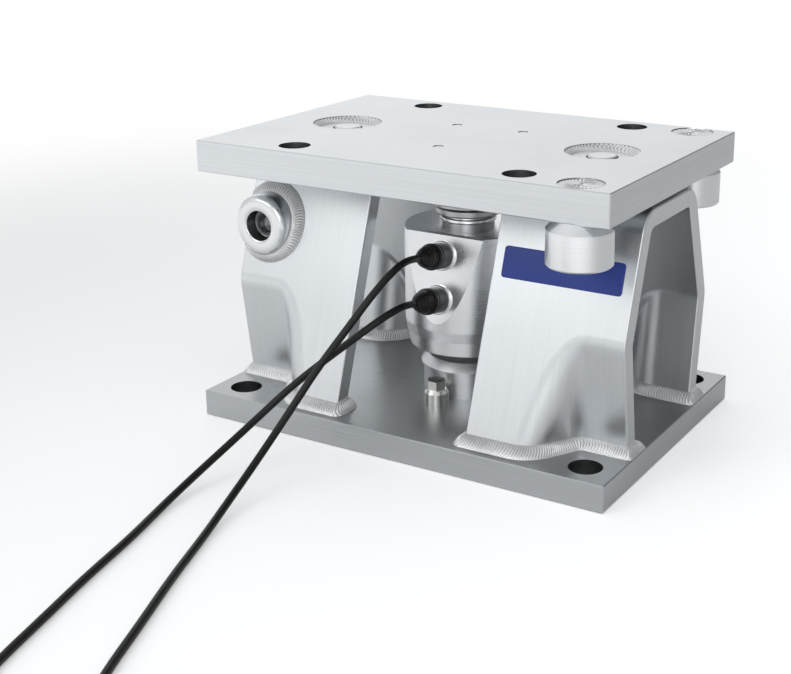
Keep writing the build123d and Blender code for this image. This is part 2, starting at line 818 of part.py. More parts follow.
# Glands: a bright seat, a round nut screwed into the housing and a tapered rubber boot
boot_base = gland_seat_thickness + gland_nut_length
gland_length = boot_base + boot_length
collar_top = boot_base + boot_collar_length
collar_edge = boot_collar_radius - boot_collar_round
for place, gland_plane in zip(("upper", "lower"), gland_planes):
    section = Plane(gland_plane.origin, x_dir=(1, 0, 0), z_dir=Vector(1, 0, 0).cross(flat_normal))
    gland_axis = Axis(gland_plane.origin, flat_normal)
    with BuildPart() as gland_seat:
        with BuildSketch(section):
            with BuildLine():
                Polyline(
                    (gland_spigot_radius + press_gap, 0),
                    (gland_seat_radius, 0),
                    (gland_seat_radius, gland_seat_thickness - gland_seat_bevel),
                    (gland_seat_radius - gland_seat_bevel, gland_seat_thickness),
                    (gland_spigot_radius + press_gap, gland_seat_thickness),
                    close=True,
                )
            make_face()
        revolve(axis=gland_axis)
    save(gland_seat.part, place + "_gland_seat")

    with BuildPart() as gland_nut:
        with BuildSketch(section):
            with BuildLine():
                Polyline(
                    (0, -gland_spigot_length),
                    (gland_spigot_radius, -gland_spigot_length),
                    (gland_spigot_radius, gland_seat_thickness),
                    (gland_nut_radius, gland_seat_thickness),
                    (gland_nut_radius, boot_base - gland_nut_chamfer),
                    (gland_nut_radius - gland_nut_chamfer, boot_base),
                    (0, boot_base),
                    close=True,
                )
            make_face()
        revolve(axis=gland_axis)
    save(gland_nut.part, place + "_gland_nut")

    with BuildPart() as boot:
        with BuildSketch(section):
            with BuildLine():
                Polyline((0, gland_length), (0, boot_base), (collar_edge, boot_base))
                RadiusArc((collar_edge, boot_base), (collar_edge, collar_top), -boot_collar_length)
                Line((collar_edge, collar_top), (boot_shoulder_radius, collar_top))
                Spline(
                    (boot_shoulder_radius, collar_top),
                    (boot_waist_radius, collar_top + boot_waist_length),
                    (boot_cone_radius, collar_top + boot_cone_length),
                    (boot_tip_radius, gland_length),
                )
                Line((boot_tip_radius, gland_length), (0, gland_length))
            make_face()
        revolve(axis=gland_axis)
    save(boot.part, place + "_strain_relief")

# Cable routes: out of each boot, down to the floor in front and on to a coil
upper_tip = gland_planes[0].origin + flat_normal * gland_length
lower_tip = gland_planes[1].origin + flat_normal * gland_length
upper_route = [
    upper_tip,
    upper_tip + flat_normal * upper_lead_out,
    Vector(-1.0, -115.8, 168.6),
    Vector(-5.2, -131.0, 159.8),
    Vector(-13.6, -145.6, 143.4),
    Vector(-25.6, -161.4, 119.8),
    Vector(-41.0, -182.0, 90.0),
    Vector(-55.4, -206.0, 54.0),
    Vector(-63.6, -241.0, 22.2),
    Vector(-57.0, -283.0, 8.6),
    Vector(-43.5, -327.0, 3.2),
    Vector(-20.5, -391.5, 3.2),
    Vector(3.4, -449.8, 3.2),
    Vector(23.4, -501.8, 3.2),
    Vector(47.0, -551.0, 3.2),
]
lower_route = [
    lower_tip,
    lower_tip + flat_normal * lower_lead_out,
    Vector(-1.4, -120.4, 131.0),
    Vector(-6.3, -132.6, 126.9),
    Vector(-14.6, -142.3, 119.3),
    Vector(-29.5, -152.0, 106.0),
    Vector(-52.0, -163.5, 86.2),
    Vector(-75.0, -177.0, 64.2),
    Vector(-92.4, -198.0, 42.0),
    Vector(-103.4, -226.0, 24.6),
    Vector(-109.6, -260.0, 10.6),
    Vector(-105.0, -306.0, 3.2),
    Vector(-89.0, -360.6, 3.2),
    Vector(-75.6, -419.8, 3.2),
    Vector(-60.0, -475.5, 3.2),
    Vector(-46.8, -524.9, 3.2),
    Vector(-31.0, -572.0, 3.2),
]


def cable(route, name):
    """A round cable along straight runs joined by arcs as large as the runs allow."""
    radii = []
    for before, here, after in zip(route, route[1:], route[2:]):
        turn = radians((here - before).get_angle(after - here))
        shorter = min((here - before).length, (after - here).length)
        radii.append(0.45 * shorter / tan(turn / 2))
    with BuildPart() as tube:
        with BuildLine():
            path = FilletPolyline(*route, radius=radii)
        with BuildSketch(Plane(route[0], z_dir=route[1] - route[0])):
            Circle(cable_radius)
        sweep(path=path)
    length = path.length
    print(name, "length", round(length, 1), "smallest bend radius", round(min(radii), 1))
    print(name, "volume ratio", round(tube.part.volume / (pi * cable_radius**2 * length), 4))
    save(tube.part, name)
    return length


def coil_and_plug(route, hand, place):
    """Coil of the cable's spare length, with the round plug that lies beside it."""
    band = 2 * cable_radius * coil_columns
    stack = 2 * cable_radius * coil_layers
    outer_turn = coil_turn_radius + (coil_columns - 1) * cable_radius
    arrive = (route[-1] - route[-2]).normalized()
    square = Vector(-arrive.Y, arrive.X, 0) * hand
    joint = route[-1] + arrive * coil_stub
    centre = joint + square * outer_turn
    centre = Vector(centre.X, centre.Y, 0)
    leave = arrive.rotate(Axis.Z, hand * coil_leave_angle)
    leave_square = Vector(-leave.Y, leave.X, 0) * hand
    plug_height = plug_nut_radius
    start = centre - leave_square * outer_turn + Vector(0, 0, plug_height)
    with BuildPart() as coil:
        with BuildSketch(Plane(centre, x_dir=(1, 0, 0), z_dir=(0, -1, 0))):
            with Locations((coil_turn_radius, stack / 2 + coil_slack)):
                RectangleRounded(band + 2 * coil_slack, stack, cable_radius)
        revolve(axis=Axis(centre, (0, 0, 1)))
        with BuildSketch(Plane(route[-1], z_dir=arrive)):
            Circle(cable_radius)
        extrude(amount=coil_stub)
        with BuildSketch(Plane(start, z_dir=leave)):
            Circle(cable_radius)
        extrude(amount=plug_stub)
    save(coil.part, place + "_cable_coil")

    plug_plane = Plane(start + leave * plug_stub, z_dir=leave)
    grip_plane = plug_plane.offset(plug_tail_length)
    core_length = plug_body_length - plug_tail_length + plug_nut_length - plug_core_recess
    with BuildPart() as plug_body:
        with BuildSketch(plug_plane):
            Circle(plug_tail_radius)
        with BuildSketch(grip_plane):
            Circle(plug_body_radius)
        loft()
        with BuildSketch(grip_plane):
            Circle(plug_grip_radius)
        extrude(amount=plug_grip_length)
        with BuildSketch(grip_plane):
            Circle(plug_core_radius)
        extrude(amount=core_length)
    save(plug_body.part, place + "_plug_body")

    with BuildPart() as plug_nut:
        with BuildSketch(plug_plane.offset(plug_body_length)):
            Circle(plug_nut_radius)
            Circle(plug_core_radius + slide_gap, mode=Mode.SUBTRACT)
        extrude(amount=plug_nut_length)
    save(plug_nut.part, place + "_plug_nut")


upper_length = cable(upper_route, "upper_cable")
lower_length = cable(lower_route, "lower_cable")
coil_and_plug(upper_route, 1, "upper")
coil_and_plug(lower_route, -1, "lower")
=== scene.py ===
"""Looks of a tank weighing module: brushed plates, rippled welds, turned steel and two cables.

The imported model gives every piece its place. This file adds the finishes, the weld
beads, the rounded boss, the bare label plate, the cables with their coils and coupling
nuts, and the studio around them.
"""

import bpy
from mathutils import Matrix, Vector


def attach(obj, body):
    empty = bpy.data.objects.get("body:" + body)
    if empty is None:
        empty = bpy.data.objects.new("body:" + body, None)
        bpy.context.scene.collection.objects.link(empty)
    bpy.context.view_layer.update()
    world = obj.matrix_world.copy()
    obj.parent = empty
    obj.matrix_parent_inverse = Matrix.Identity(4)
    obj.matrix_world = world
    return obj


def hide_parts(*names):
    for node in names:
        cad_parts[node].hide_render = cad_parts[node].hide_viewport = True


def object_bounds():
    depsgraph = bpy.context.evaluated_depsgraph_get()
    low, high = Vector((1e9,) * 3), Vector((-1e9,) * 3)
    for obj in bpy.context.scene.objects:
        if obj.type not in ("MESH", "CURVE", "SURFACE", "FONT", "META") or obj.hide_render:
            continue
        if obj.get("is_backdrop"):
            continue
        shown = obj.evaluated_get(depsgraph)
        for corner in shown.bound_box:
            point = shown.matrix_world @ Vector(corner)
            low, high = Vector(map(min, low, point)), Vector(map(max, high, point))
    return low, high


bl_info = {
    "name": "Tank Weighing Module Looks",
    "version": (1, 0, 0),
    "blender": (4, 5, 0),
    "location": "View3D > Sidebar > Weighing Module",
    "description": "Dresses the weighing module with finishes, weld beads, cables and a studio",
    "category": "Object",
}

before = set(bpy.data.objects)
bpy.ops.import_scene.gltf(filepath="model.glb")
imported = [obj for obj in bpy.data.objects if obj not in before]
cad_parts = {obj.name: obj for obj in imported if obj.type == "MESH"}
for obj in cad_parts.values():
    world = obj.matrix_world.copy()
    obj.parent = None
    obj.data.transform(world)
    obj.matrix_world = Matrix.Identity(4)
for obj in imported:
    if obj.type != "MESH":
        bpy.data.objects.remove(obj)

from math import atan, cos, pi, radians, sin, sqrt, tan

import bmesh
import bpy
import numpy as np
from bpy.props import FloatProperty, FloatVectorProperty, PointerProperty
from bpy.types import Operator, Panel, PropertyGroup
from mathutils import Matrix

MM = 0.001

# Sizes shared with the model, in millimetres
BASE_TOP = 24.0
BASE_END = 203.0
BASE_HALF_WIDTH = 139
TOP_END = 200
TOP_HALF_WIDTH = 135
TOP_FACE = 260.0
ROOF_TOP = 226.5
ROOF_HALF_WIDTH = 53.4
LEG_SLOPE = tan(radians(18.8))
PRESS_HEIGHT = 97.0
PRESS_HALF_WIDTH = 76.0
PRESS_CORNER_X = {"right": 152.0, "left": 143.0}
PRESS_WALL_ANGLE = radians(60)
BRACKET_WALL = 16.0
BRACKET_INNER_X = 66.0
BRACKET_OUTER_X = 196.0
CREASE_MIDDLE_RADIUS = 20.0
CORNER_MIDDLE_RADIUS = 24.0
BOSS_X = -169.0
BOSS_HEIGHT = 175.3
BOSS_RADIUS = 28.2
BOSS_FRONT = 91.83
BOSS_ROUNDING = 6.5
BOSS_BORE_RADIUS = 13.8
BOSS_BORE_DEPTH = 13.0
BOSS_HOLE_RADIUS = 9.0
HOLD_DOWN_X = 131.0
HOLD_DOWN_DISC_RADIUS = 26.0
HOLD_DOWN_DISC_TOP = 255.0
HOLD_DOWN_WELD_RADIUS = 32.5
POST_X = 166.5
POST_Y = 115.5
PLUG_WELD_RADIUS = 19.0
CELL_TOP = 180
FLAT_OFFSET = 43
STOP_PIN_Y = -58
GLAND_X = 0.5
GLAND_DROPS = {"upper": 19.5, "lower": 58.4}
GLAND_TILT = radians(10.93)
CABLE_RADIUS = 3.2
COIL_INNER_TURN = 27.9
COIL_OUTER_TURN = 47.1
COIL_SPREAD = 1.0050  # the spline runs 0.9% inside its points; with this the cable is 0.4% inside
COIL_STUB = 25.0
COIL_LEAVE_ANGLE = radians(8)
PLUG_STUB = 40.0
PLUG_BODY_LENGTH = 30.0
PLUG_NUT_RADIUS = 9.6
PLUG_NUT_LENGTH = 16.0
PLUG_NUT_BORE = 7.3
PLUG_HEIGHT = 9.6

# Sizes and fineness of the pieces that are made here
FOOT_ROW_SPACING = 0.28
FILLET_COLUMNS = 15
RING_COLUMNS = 13
WELD_CREASE = radians(62)
BOSS_WELD_LEG = 8.5
# Radius within which the boss's finish paints shade into the bore
BOSS_DARK_RADIUS = 14.1
RING_WELD_SEAT = (250.0, 247.0)
PLUG_WELD_SEAT = 249.0
LABEL_HALF_WIDTH = 13.6
LABEL_CORNER = 3.2
LABEL_THICKNESS = 0.5
LABEL_X = 130.5
LABEL_HEIGHT = 173.2
TURN_POINTS = 24
LAYER_TURNS = 3
COIL_TURNS = 7

# Routes of the two cables, from the tip of each boot to the start of its coil
UPPER_ROUTE = (
    (0.5, -87.022, 168.274), (0.5, -100.768, 170.928), (-1.0, -115.8, 168.6),
    (-5.2, -131.0, 159.8), (-13.6, -145.6, 143.4), (-25.6, -161.4, 119.8),
    (-41.0, -182.0, 90.0), (-55.4, -206.0, 54.0), (-63.6, -241.0, 22.2),
    (-57.0, -283.0, 8.6), (-43.5, -327.0, 3.2), (-20.5, -391.5, 3.2),
    (3.4, -449.8, 3.2), (23.4, -501.8, 3.2), (47.0, -551.0, 3.2),
)
LOWER_ROUTE = (
    (0.5, -94.534, 129.374), (0.5, -107.298, 131.839), (-1.4, -120.4, 131.0),
    (-6.3, -132.6, 126.9), (-14.6, -142.3, 119.3), (-29.5, -152.0, 106.0),
    (-52.0, -163.5, 86.2), (-75.0, -177.0, 64.2), (-92.4, -198.0, 42.0),
    (-103.4, -226.0, 24.6), (-109.6, -260.0, 10.6), (-105.0, -306.0, 3.2),
    (-89.0, -360.6, 3.2), (-75.6, -419.8, 3.2), (-60.0, -475.5, 3.2),
    (-46.8, -524.9, 3.2), (-31.0, -572.0, 3.2),
)
CABLES = (("upper", UPPER_ROUTE, 1, 2.215), ("lower", LOWER_ROUTE, -1, 2.222))


# Settings that a user would change


class WeldSettings(PropertyGroup):
    foot_leg: FloatProperty(
        name="Foot bead width",
        description="How far the bead at a bracket's foot reaches over the base plate",
        default=9 * MM,
        min=4 * MM,
        max=14 * MM,
        unit="LENGTH",
    )
    foot_height: FloatProperty(
        name="Foot bead height",
        description="How far the bead climbs up the bracket",
        default=8.5 * MM,
        min=4 * MM,
        max=14 * MM,
        unit="LENGTH",
    )
    ripple_pitch: FloatProperty(
        name="Ripple pitch",
        description="Distance between two ripples along a bead",
        default=2.4 * MM,
        min=1.5 * MM,
        max=6 * MM,
        unit="LENGTH",
    )
    ripple_depth: FloatProperty(
        name="Ripple depth",
        description="Depth of the grooves between two ripples",
        default=0.9 * MM,
        min=0,
        max=2 * MM,
        unit="LENGTH",
    )


class FinishSettings(PropertyGroup):
    plate_colour: FloatVectorProperty(
        name="Plate steel",
        description="Reflected colour of the brushed plates",
        default=(0.66, 0.68, 0.695),
        subtype="COLOR",
        min=0,
        max=1,
    )
    weld_colour: FloatVectorProperty(
        name="Weld metal",
        description="Reflected colour of the pickled weld beads",
        default=(0.79, 0.795, 0.80),
        subtype="COLOR",
        min=0,
        max=1,
    )
    turned_colour: FloatVectorProperty(
        name="Turned steel",
        description="Reflected colour of the machined pieces",
        default=(0.82, 0.835, 0.85),
        subtype="COLOR",
        min=0,
        max=1,
    )
    label_colour: FloatVectorProperty(
        name="Label",
        description="Colour of the bare label plate",
        default=(0.02, 0.045, 0.26),
        subtype="COLOR",
        min=0,
        max=1,
    )
    plate_roughness: FloatProperty(
        name="Plate roughness",
        description="Middle roughness of the brushed plates",
        default=0.34,
        min=0.1,
        max=0.8,
    )


class StudioSettings(PropertyGroup):
    key_power: FloatProperty(
        name="Studio lamps",
        description="The three soft lamps take 0.6, 0.44 and 0.24 of this power",
        default=34,
        min=0,
        unit="POWER",
    )
    fill_strength: FloatProperty(
        name="Room light",
        description="Strength of the light from the room",
        default=0.62,
        min=0,
        max=2,
    )
    label_length: FloatProperty(
        name="Label length",
        description="Length of the bare label plate on the right bracket",
        default=110.5 * MM,
        min=20 * MM,
        max=115 * MM,
        unit="LENGTH",
    )


# Shader maths


class Wire:
    """A socket of a node tree. Arithmetic on it adds the Math nodes for it."""

    def __init__(self, nodes, socket):
        self.nodes = nodes
        self.socket = socket

    def math(self, operation, *values):
        return self.nodes.node("ShaderNodeMath", {"operation": operation}, dict(enumerate(values)))

    def sine(self):
        return self.math("SINE", self)

    def __add__(self, other):
        return self.math("ADD", self, other)

    def __radd__(self, other):
        return self.math("ADD", other, self)

    def __sub__(self, other):
        return self.math("SUBTRACT", self, other)

    def __rsub__(self, other):
        return self.math("SUBTRACT", other, self)

    def __mul__(self, other):
        return self.math("MULTIPLY", self, other)

    def __rmul__(self, other):
        return self.math("MULTIPLY", other, self)

    def __pow__(self, other):
        return self.math("POWER", self, other)

    def __abs__(self):
        return self.math("ABSOLUTE", self)

    def __gt__(self, other):
        return self.math("GREATER_THAN", self, other)

    def __lt__(self, other):
        return self.math("LESS_THAN", self, other)


class Nodes:
    """Node tree of a material or of the room, while it is put together."""

    def __init__(self, owner, output):
        owner.use_nodes = True
        self.tree = owner.node_tree
        self.tree.nodes.clear()
        self.output = self.tree.nodes.new(output)

    def feed(self, socket, value):
        """Link a wire to a socket, or set the socket's own number or colour."""
        if isinstance(value, Wire):
            self.tree.links.new(value.socket, socket)
        elif socket.type == "RGBA" and len(value) == 3:
            socket.default_value = (*value, 1)
        else:
            socket.default_value = value

    def node(self, kind, settings=None, inputs=None, output=0):
        """Add a node: its settings first, then its sockets; the chosen output comes back."""
        node = self.tree.nodes.new(kind)
        for key, value in (settings or {}).items():
            if key == "stops":
                elements = node.color_ramp.elements
                while len(elements) < len(value):
                    elements.new(0.5)
                for element, (place, colour) in zip(elements, value):
                    element.position = place
                    element.color = (*colour, 1)
            else:
                setattr(node, key, value)
        for key, value in (inputs or {}).items():
            self.feed(node.inputs[key], value)
        return Wire(self, node.outputs[output])

    def show(self, shader):
        """Link the shader that the tree is for, in place of an earlier one."""
        self.feed(self.output.inputs[0], shader)

    def split(self, vector):
        """The three numbers of a vector."""
        return tuple(
            self.node("ShaderNodeSeparateXYZ", inputs={0: vector}, output=axis)
            for axis in range(3)
        )


class Finish(Nodes):
    """One material while it is put together, around a single principled surface."""

    def __init__(self, name, **sockets):
        self.material = bpy.data.materials.new(name)
        super().__init__(self.material, "ShaderNodeOutputMaterial")
        self.surface = self.tree.nodes.new("ShaderNodeBsdfPrincipled")
        self.own = Wire(self, self.surface.outputs[0])
        self.show(self.own)
        self.set(**sockets)

    def set(self, **sockets):
        """Feed the principled surface; an underscore in a name stands for a space."""
        for key, value in sockets.items():
            self.feed(self.surface.inputs[key.replace("_", " ")], value)

    def made(self, **sockets):
        """Feed the principled surface a last time and hand over the material."""
        self.set(**sockets)
        return self.material

    def mix(self, other, share):
        """Blend another shader over the principled one, by its share."""
        self.show(self.node("ShaderNodeMixShader", inputs={0: share, 1: self.own, 2: other}))

    def axes(self, output="Object"):
        """The three numbers of the object's own coordinates, or of its normal."""
        return self.split(self.node("ShaderNodeTexCoord", output=output))

    def noise(self, x, y, z, detail=2.0, roughness=0.5):
        """Noise at a point whose three coordinates are already scaled."""
        vector = self.node("ShaderNodeCombineXYZ", inputs={0: x, 1: y, 2: z})
        inputs = {"Vector": vector, "Scale": 1.0, "Detail": detail, "Roughness": roughness}
        return self.node("ShaderNodeTexNoise", inputs=inputs)

    def even(self, place, scale, detail=2.0, roughness=0.5):
        """Noise of the same scale in all three directions."""
        return self.noise(*(axis * scale for axis in place), detail, roughness)

    def tint(self, mask, low, high):
        """A colour between two colours, by a mask from 0 to 1."""
        settings = {"data_type": "RGBA", "clamp_factor": True}
        node_inputs = {0: mask, 6: low, 7: high}
        return self.node("ShaderNodeMix", settings, node_inputs, output=2)

    def bump(self, height, strength, distance):
        """A normal from a height that varies over the surface."""
        inputs = {"Strength": strength, "Distance": distance, "Height": height}
        return self.node("ShaderNodeBump", inputs=inputs)


def shade(colour, amount):
    """A colour made lighter or darker, and kept within 0 to 1."""
    return tuple(min(1.0, max(0.0, part * amount)) for part in colour)


def brushed_plate(name, colour, roughness, half_length, half_width, top_share=1.0):
    """Rolled plate, brushed along its length on its faces and along each cut edge.

    The walls of its holes, away from its edges, are painted dark as shade in the holes, and its
    flat faces keep only the given share of the colour, as painted shade.
    """
    finish = Finish(name, Metallic=1.0)
    x, y, z = finish.axes()
    normal = finish.axes("Normal")
    end_face = abs(normal[0]) > 0.6
    flat = abs(normal[2]) > 0.6
    inside = ((half_length - 4) * MM > abs(x)) * ((half_width - 4) * MM > abs(y))
    # Painted shade: hole walls darkened to 0.4 of the colour, flat faces darkened by the given
    # share
    drilled = inside * (1 - flat)
    tone = (1 - drilled * 0.6) * (1 - flat * (1 - top_share))
    across = y * (900 - 890 * end_face)
    grain = finish.noise(x * 7, across, z * 900, 2.0, 0.55)
    streak = finish.noise(x * 2.5, y * (140 - 136 * end_face), z * 140)
    cloud = finish.even((x, y, z), 9)
    mask = grain * 0.65 + streak * 0.2 + cloud * 0.15
    metal = finish.tint(mask, shade(colour, 0.84), shade(colour, 1.16))
    return finish.made(
        Base_Color=finish.tint(tone, (0, 0, 0), metal),
        Roughness=roughness - 0.16 + grain * 0.16 + cloud * 0.16,
        Normal=finish.bump(grain, 0.22, 0.12 * MM),
    )


def brushed_bracket(name, colour, roughness):
    """Formed plate with the brushing down its legs, and along the plate on its cut ends."""
    finish = Finish(name, Metallic=1.0)
    x, y, z = finish.axes()
    end_face = abs(finish.axes("Normal")[0]) > 0.8
    through = (abs(y) + z * LEG_SLOPE) * end_face
    grain = finish.noise(x * 900, through * 900, z * 7, 2.0, 0.55)
    streak = finish.noise(x * 120, through * 200, z * 3)
    cloud = finish.even((x, y, z), 12)
    mask = grain * 0.65 + streak * 0.15 + cloud * 0.2
    return finish.made(
        Base_Color=finish.tint(mask, shade(colour, 0.84), shade(colour, 1.16)),
        Roughness=roughness - 0.14 + grain * 0.14 + cloud * 0.14,
        Normal=finish.bump(grain, 0.2, 0.12 * MM),
    )


def turned_steel(name, colour, roughness, middle=(0, 0, 0), tilt=0.0, rings=0.16, bore=0.0):
    """Turned metal: fine rings round an axis through middle, along Z turned by tilt about X.

    Inside the bore's radius the metal is painted dark, as painted shade in the bore.
    """
    finish = Finish(name, Metallic=1.0)
    place = finish.node("ShaderNodeTexCoord", output="Object")
    inputs = {0: place, 1: tuple(part * MM for part in middle), 2: (tilt, 0, 0)}
    place = finish.node("ShaderNodeMapping", {"vector_type": "TEXTURE"}, inputs)
    x, y, z = finish.split(place)
    radius = (x * x + y * y) ** 0.5
    ring = finish.noise(radius * 1500, z * 1500, 0.0, 2.0, 0.6)
    band = finish.noise(radius * 170, z * 170, 3.0, 1.0, 0.5)
    cloud = finish.even((x, y, z), 30)
    mask = ring * 0.4 + band * 0.3 + cloud * 0.3
    metal = finish.tint(mask, shade(colour, 0.86), shade(colour, 1.13))
    # Painted shade: inside the bore's radius the colour falls to 0.22 of the metal
    if bore:
        metal = finish.tint(radius > bore * MM, shade(colour, 0.22), metal)
    return finish.made(
        Base_Color=metal,
        Roughness=roughness - 0.08 + ring * 0.08 + cloud * 0.08,
        Normal=finish.bump(ring, rings, 0.06 * MM),
    )


def pickled_weld(name, colour):
    """Weld metal, pale from pickling, with small pits; the ripple crests are painted brighter and
    the grooves darker, as painted highlight and shade.
    """
    finish = Finish(name, Metallic=0.75)
    place = finish.axes()
    crest = finish.node("ShaderNodeAttribute", {"attribute_name": "ripple"}, output="Fac")
    pits = finish.even(place, 900, 3.0, 0.65)
    cloud = finish.even(place, 130)
    # Painted highlight on the ripple crests and painted shade in the grooves, with real pits and
    # random tone
    mask = crest * 0.7 + pits * 0.5 + cloud * 0.25 - 0.3
    return finish.made(
        Base_Color=finish.tint(mask, shade(colour, 0.5), shade(colour, 1.25)),
        Roughness=0.32 + pits * 0.2,
        Normal=finish.bump(pits, 0.45, 0.3 * MM),
    )


def dark_nut(name):
    """Dark grey plated metal with a satin sheen and paler wear."""
    finish = Finish(name, Metallic=0.85)
    place = finish.axes()
    grain = finish.even(place, 1200, 2.0, 0.6)
    cloud = finish.even(place, 90)
    return finish.made(
        Base_Color=finish.tint(cloud, (0.026, 0.026, 0.028), (0.06, 0.061, 0.064)),
        Roughness=0.3 + grain * 0.14,
        Normal=finish.bump(grain, 0.12, 0.05 * MM),
    )


def black_moulding(name, dark, pale, roughness, coarse, rib_pitch=0.0):
    """Rubber or plastic moulding with a fine spark-eroded skin, or ribs across the glands' axis."""
    finish = Finish(name, Metallic=0.0, Specular_IOR_Level=0.3)
    x, y, z = finish.axes()
    skin = finish.even((x, y, z), coarse, 3.0, 0.6)
    cloud = finish.even((x, y, z), 45)
    relief = finish.bump(skin, 0.18, 0.08 * MM)
    if rib_pitch:
        along = z * sin(GLAND_TILT) - y * cos(GLAND_TILT)
        wave = (along * (2 * pi / (rib_pitch * MM))).sine()
        relief = finish.bump(wave * 0.5 + 0.5, 0.85, 0.45 * MM)
    return finish.made(
        Base_Color=finish.tint(cloud, (dark, dark, dark * 1.05), (pale, pale, pale * 1.04)),
        Roughness=roughness - 0.08 + skin * 0.08 + cloud * 0.1,
        Normal=relief,
    )


def label_paint(name, colour):
    """Blue enamel on a thin plate, with a light orange-peel skin."""
    finish = Finish(name, Metallic=0.0, Coat_Roughness=0.12, Specular_IOR_Level=0.3)
    place = finish.axes()
    peel = finish.even(place, 420)
    cloud = finish.even(place, 22)
    return finish.made(
        Base_Color=finish.tint(cloud, shade(colour, 0.88), shade(colour, 1.14)),
        Roughness=0.3 + peel * 0.1,
        Coat_Weight=0.06 + cloud * 0.04,
        Normal=finish.bump(peel, 0.08, 0.05 * MM),
    )


def board_lacquer(name):
    """Green lacquer over the copper tracks of a circuit board."""
    finish = Finish(name, Metallic=0.0)
    x, y, z = finish.axes()
    tracks = finish.noise(x * 260, y * 260, 0.0, 0.0, 0.5) > 0.54
    skin = finish.even((x, y, z), 900)
    return finish.made(
        Base_Color=finish.tint(tracks, (0.012, 0.13, 0.05), (0.03, 0.24, 0.09)),
        Roughness=0.24 + skin * 0.14,
        Normal=finish.bump(tracks, 0.3, 0.05 * MM),
    )


def gauge_film(name):
    """Amber film over the fine grid of a strain gauge."""
    finish = Finish(name, Metallic=0.0)
    x, y, z = finish.axes()
    grid = ((x + y) * 5200).sine()
    skin = finish.even((x, y, z), 500)
    return finish.made(
        Base_Color=finish.tint(grid > 0.2, (0.55, 0.3, 0.08), (0.34, 0.2, 0.07)),
        Roughness=0.3 + skin * 0.16,
    )


# Surfaces


def put(name, data):
    """A new object in the scene."""
    item = bpy.data.objects.new(name, data)
    bpy.context.scene.collection.objects.link(item)
    return item


def surface(
    name, points, finish, slot, close_rows=True, close_columns=True, sharp=None, ripples=None
):
    """Mesh over a grid of points in millimetres, closed along rows and columns as asked.

    Each cell of the grid is one face; the faces are turned about if the volume that they
    enclose comes out negative. Points that fall together, as at a pole, are merged. A
    bead's ripples, from 0 in the grooves to 1 on the crests, are kept for its finish.
    """
    rows, columns = points.shape[:2]
    index = np.arange(rows * columns).reshape(rows, columns)
    if close_rows:
        index = np.concatenate([index, index[:1]], axis=0)
    if close_columns:
        index = np.concatenate([index, index[:, :1]], axis=1)
    quads = np.stack([index[:-1, :-1], index[1:, :-1], index[1:, 1:], index[:-1, 1:]], axis=-1)
    quads = quads.reshape(-1, 4)
    corners = points.reshape(-1, 3) * MM
    a, b, c, d = (corners[quads[:, k]] - corners.mean(axis=0) for k in range(4))
    volume = (a * (np.cross(b, c) + np.cross(c, d))).sum()
    if volume < 0:
        quads = quads[:, ::-1]
    mesh = bpy.data.meshes.new(name)
    mesh.vertices.add(len(corners))
    mesh.vertices.foreach_set("co", corners.astype(np.float32).ravel())
    mesh.loops.add(quads.size)
    mesh.loops.foreach_set("vertex_index", quads.astype(np.int32).ravel())
    mesh.polygons.add(len(quads))
    mesh.polygons.foreach_set("loop_start", np.arange(0, quads.size, 4, dtype=np.int32))
    mesh.update(calc_edges=True)
    mesh.validate()
    if ripples is not None:
        kept = mesh.attributes.new("ripple", "FLOAT", "POINT")
        kept.data.foreach_set("value", ripples.astype(np.float32).ravel())
    shell = bmesh.new()
    shell.from_mesh(mesh)
    bmesh.ops.remove_doubles(shell, verts=shell.verts, dist=1e-7)
    shell.to_mesh(mesh)
    shell.free()
    mesh.shade_smooth()
    if sharp is not None:
        mesh.set_sharp_from_angle(angle=sharp)
    piece = put(name, mesh)
    mesh.materials.append(finish)
    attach(piece, "root")
    return piece


def bent_line(corners, radii, count=30):
    """Points and unit tangents along a flat line of straight runs joined by arcs.

    Each inner corner is cut by radius times the tangent of half its turn, and the arc
    between the two cuts is walked in equal steps of angle. Every run has the same count
    of points, so that two such lines match point by point.
    """
    corners = np.asarray(corners, float)
    runs = np.diff(corners, axis=0)
    headings = np.arctan2(runs[:, 1], runs[:, 0])
    turns = np.diff(headings)
    cuts = np.array([r * abs(tan(t / 2)) for r, t in zip(radii, turns)])
    points, angles = [], []
    start = corners[0]
    for k, heading in enumerate(headings):
        along = np.array([cos(heading), sin(heading)])
        end = corners[k + 1] - along * (cuts[k] if k < len(cuts) else 0.0)
        share = np.linspace(0, 1, count)[:, None]
        points.append(start + (end - start) * share)
        angles.append(np.full(count, heading))
        if k < len(cuts):
            turn, radius = turns[k], radii[k]
            side = np.sign(turn)
            centre = end + side * radius * np.array([-sin(heading), cos(heading)])
            sweep = heading + np.linspace(0, 1, 14)[1:-1] * turn
            spokes = np.stack([np.sin(sweep), -np.cos(sweep)], axis=1) * side * radius
            points.append(centre + spokes)
            angles.append(sweep)
            start = corners[k + 1] + cuts[k] * np.array(
                [cos(headings[k + 1]), sin(headings[k + 1])]
            )
    angles = np.concatenate(angles)
    return np.concatenate(points), np.stack([np.cos(angles), np.sin(angles)], axis=1)


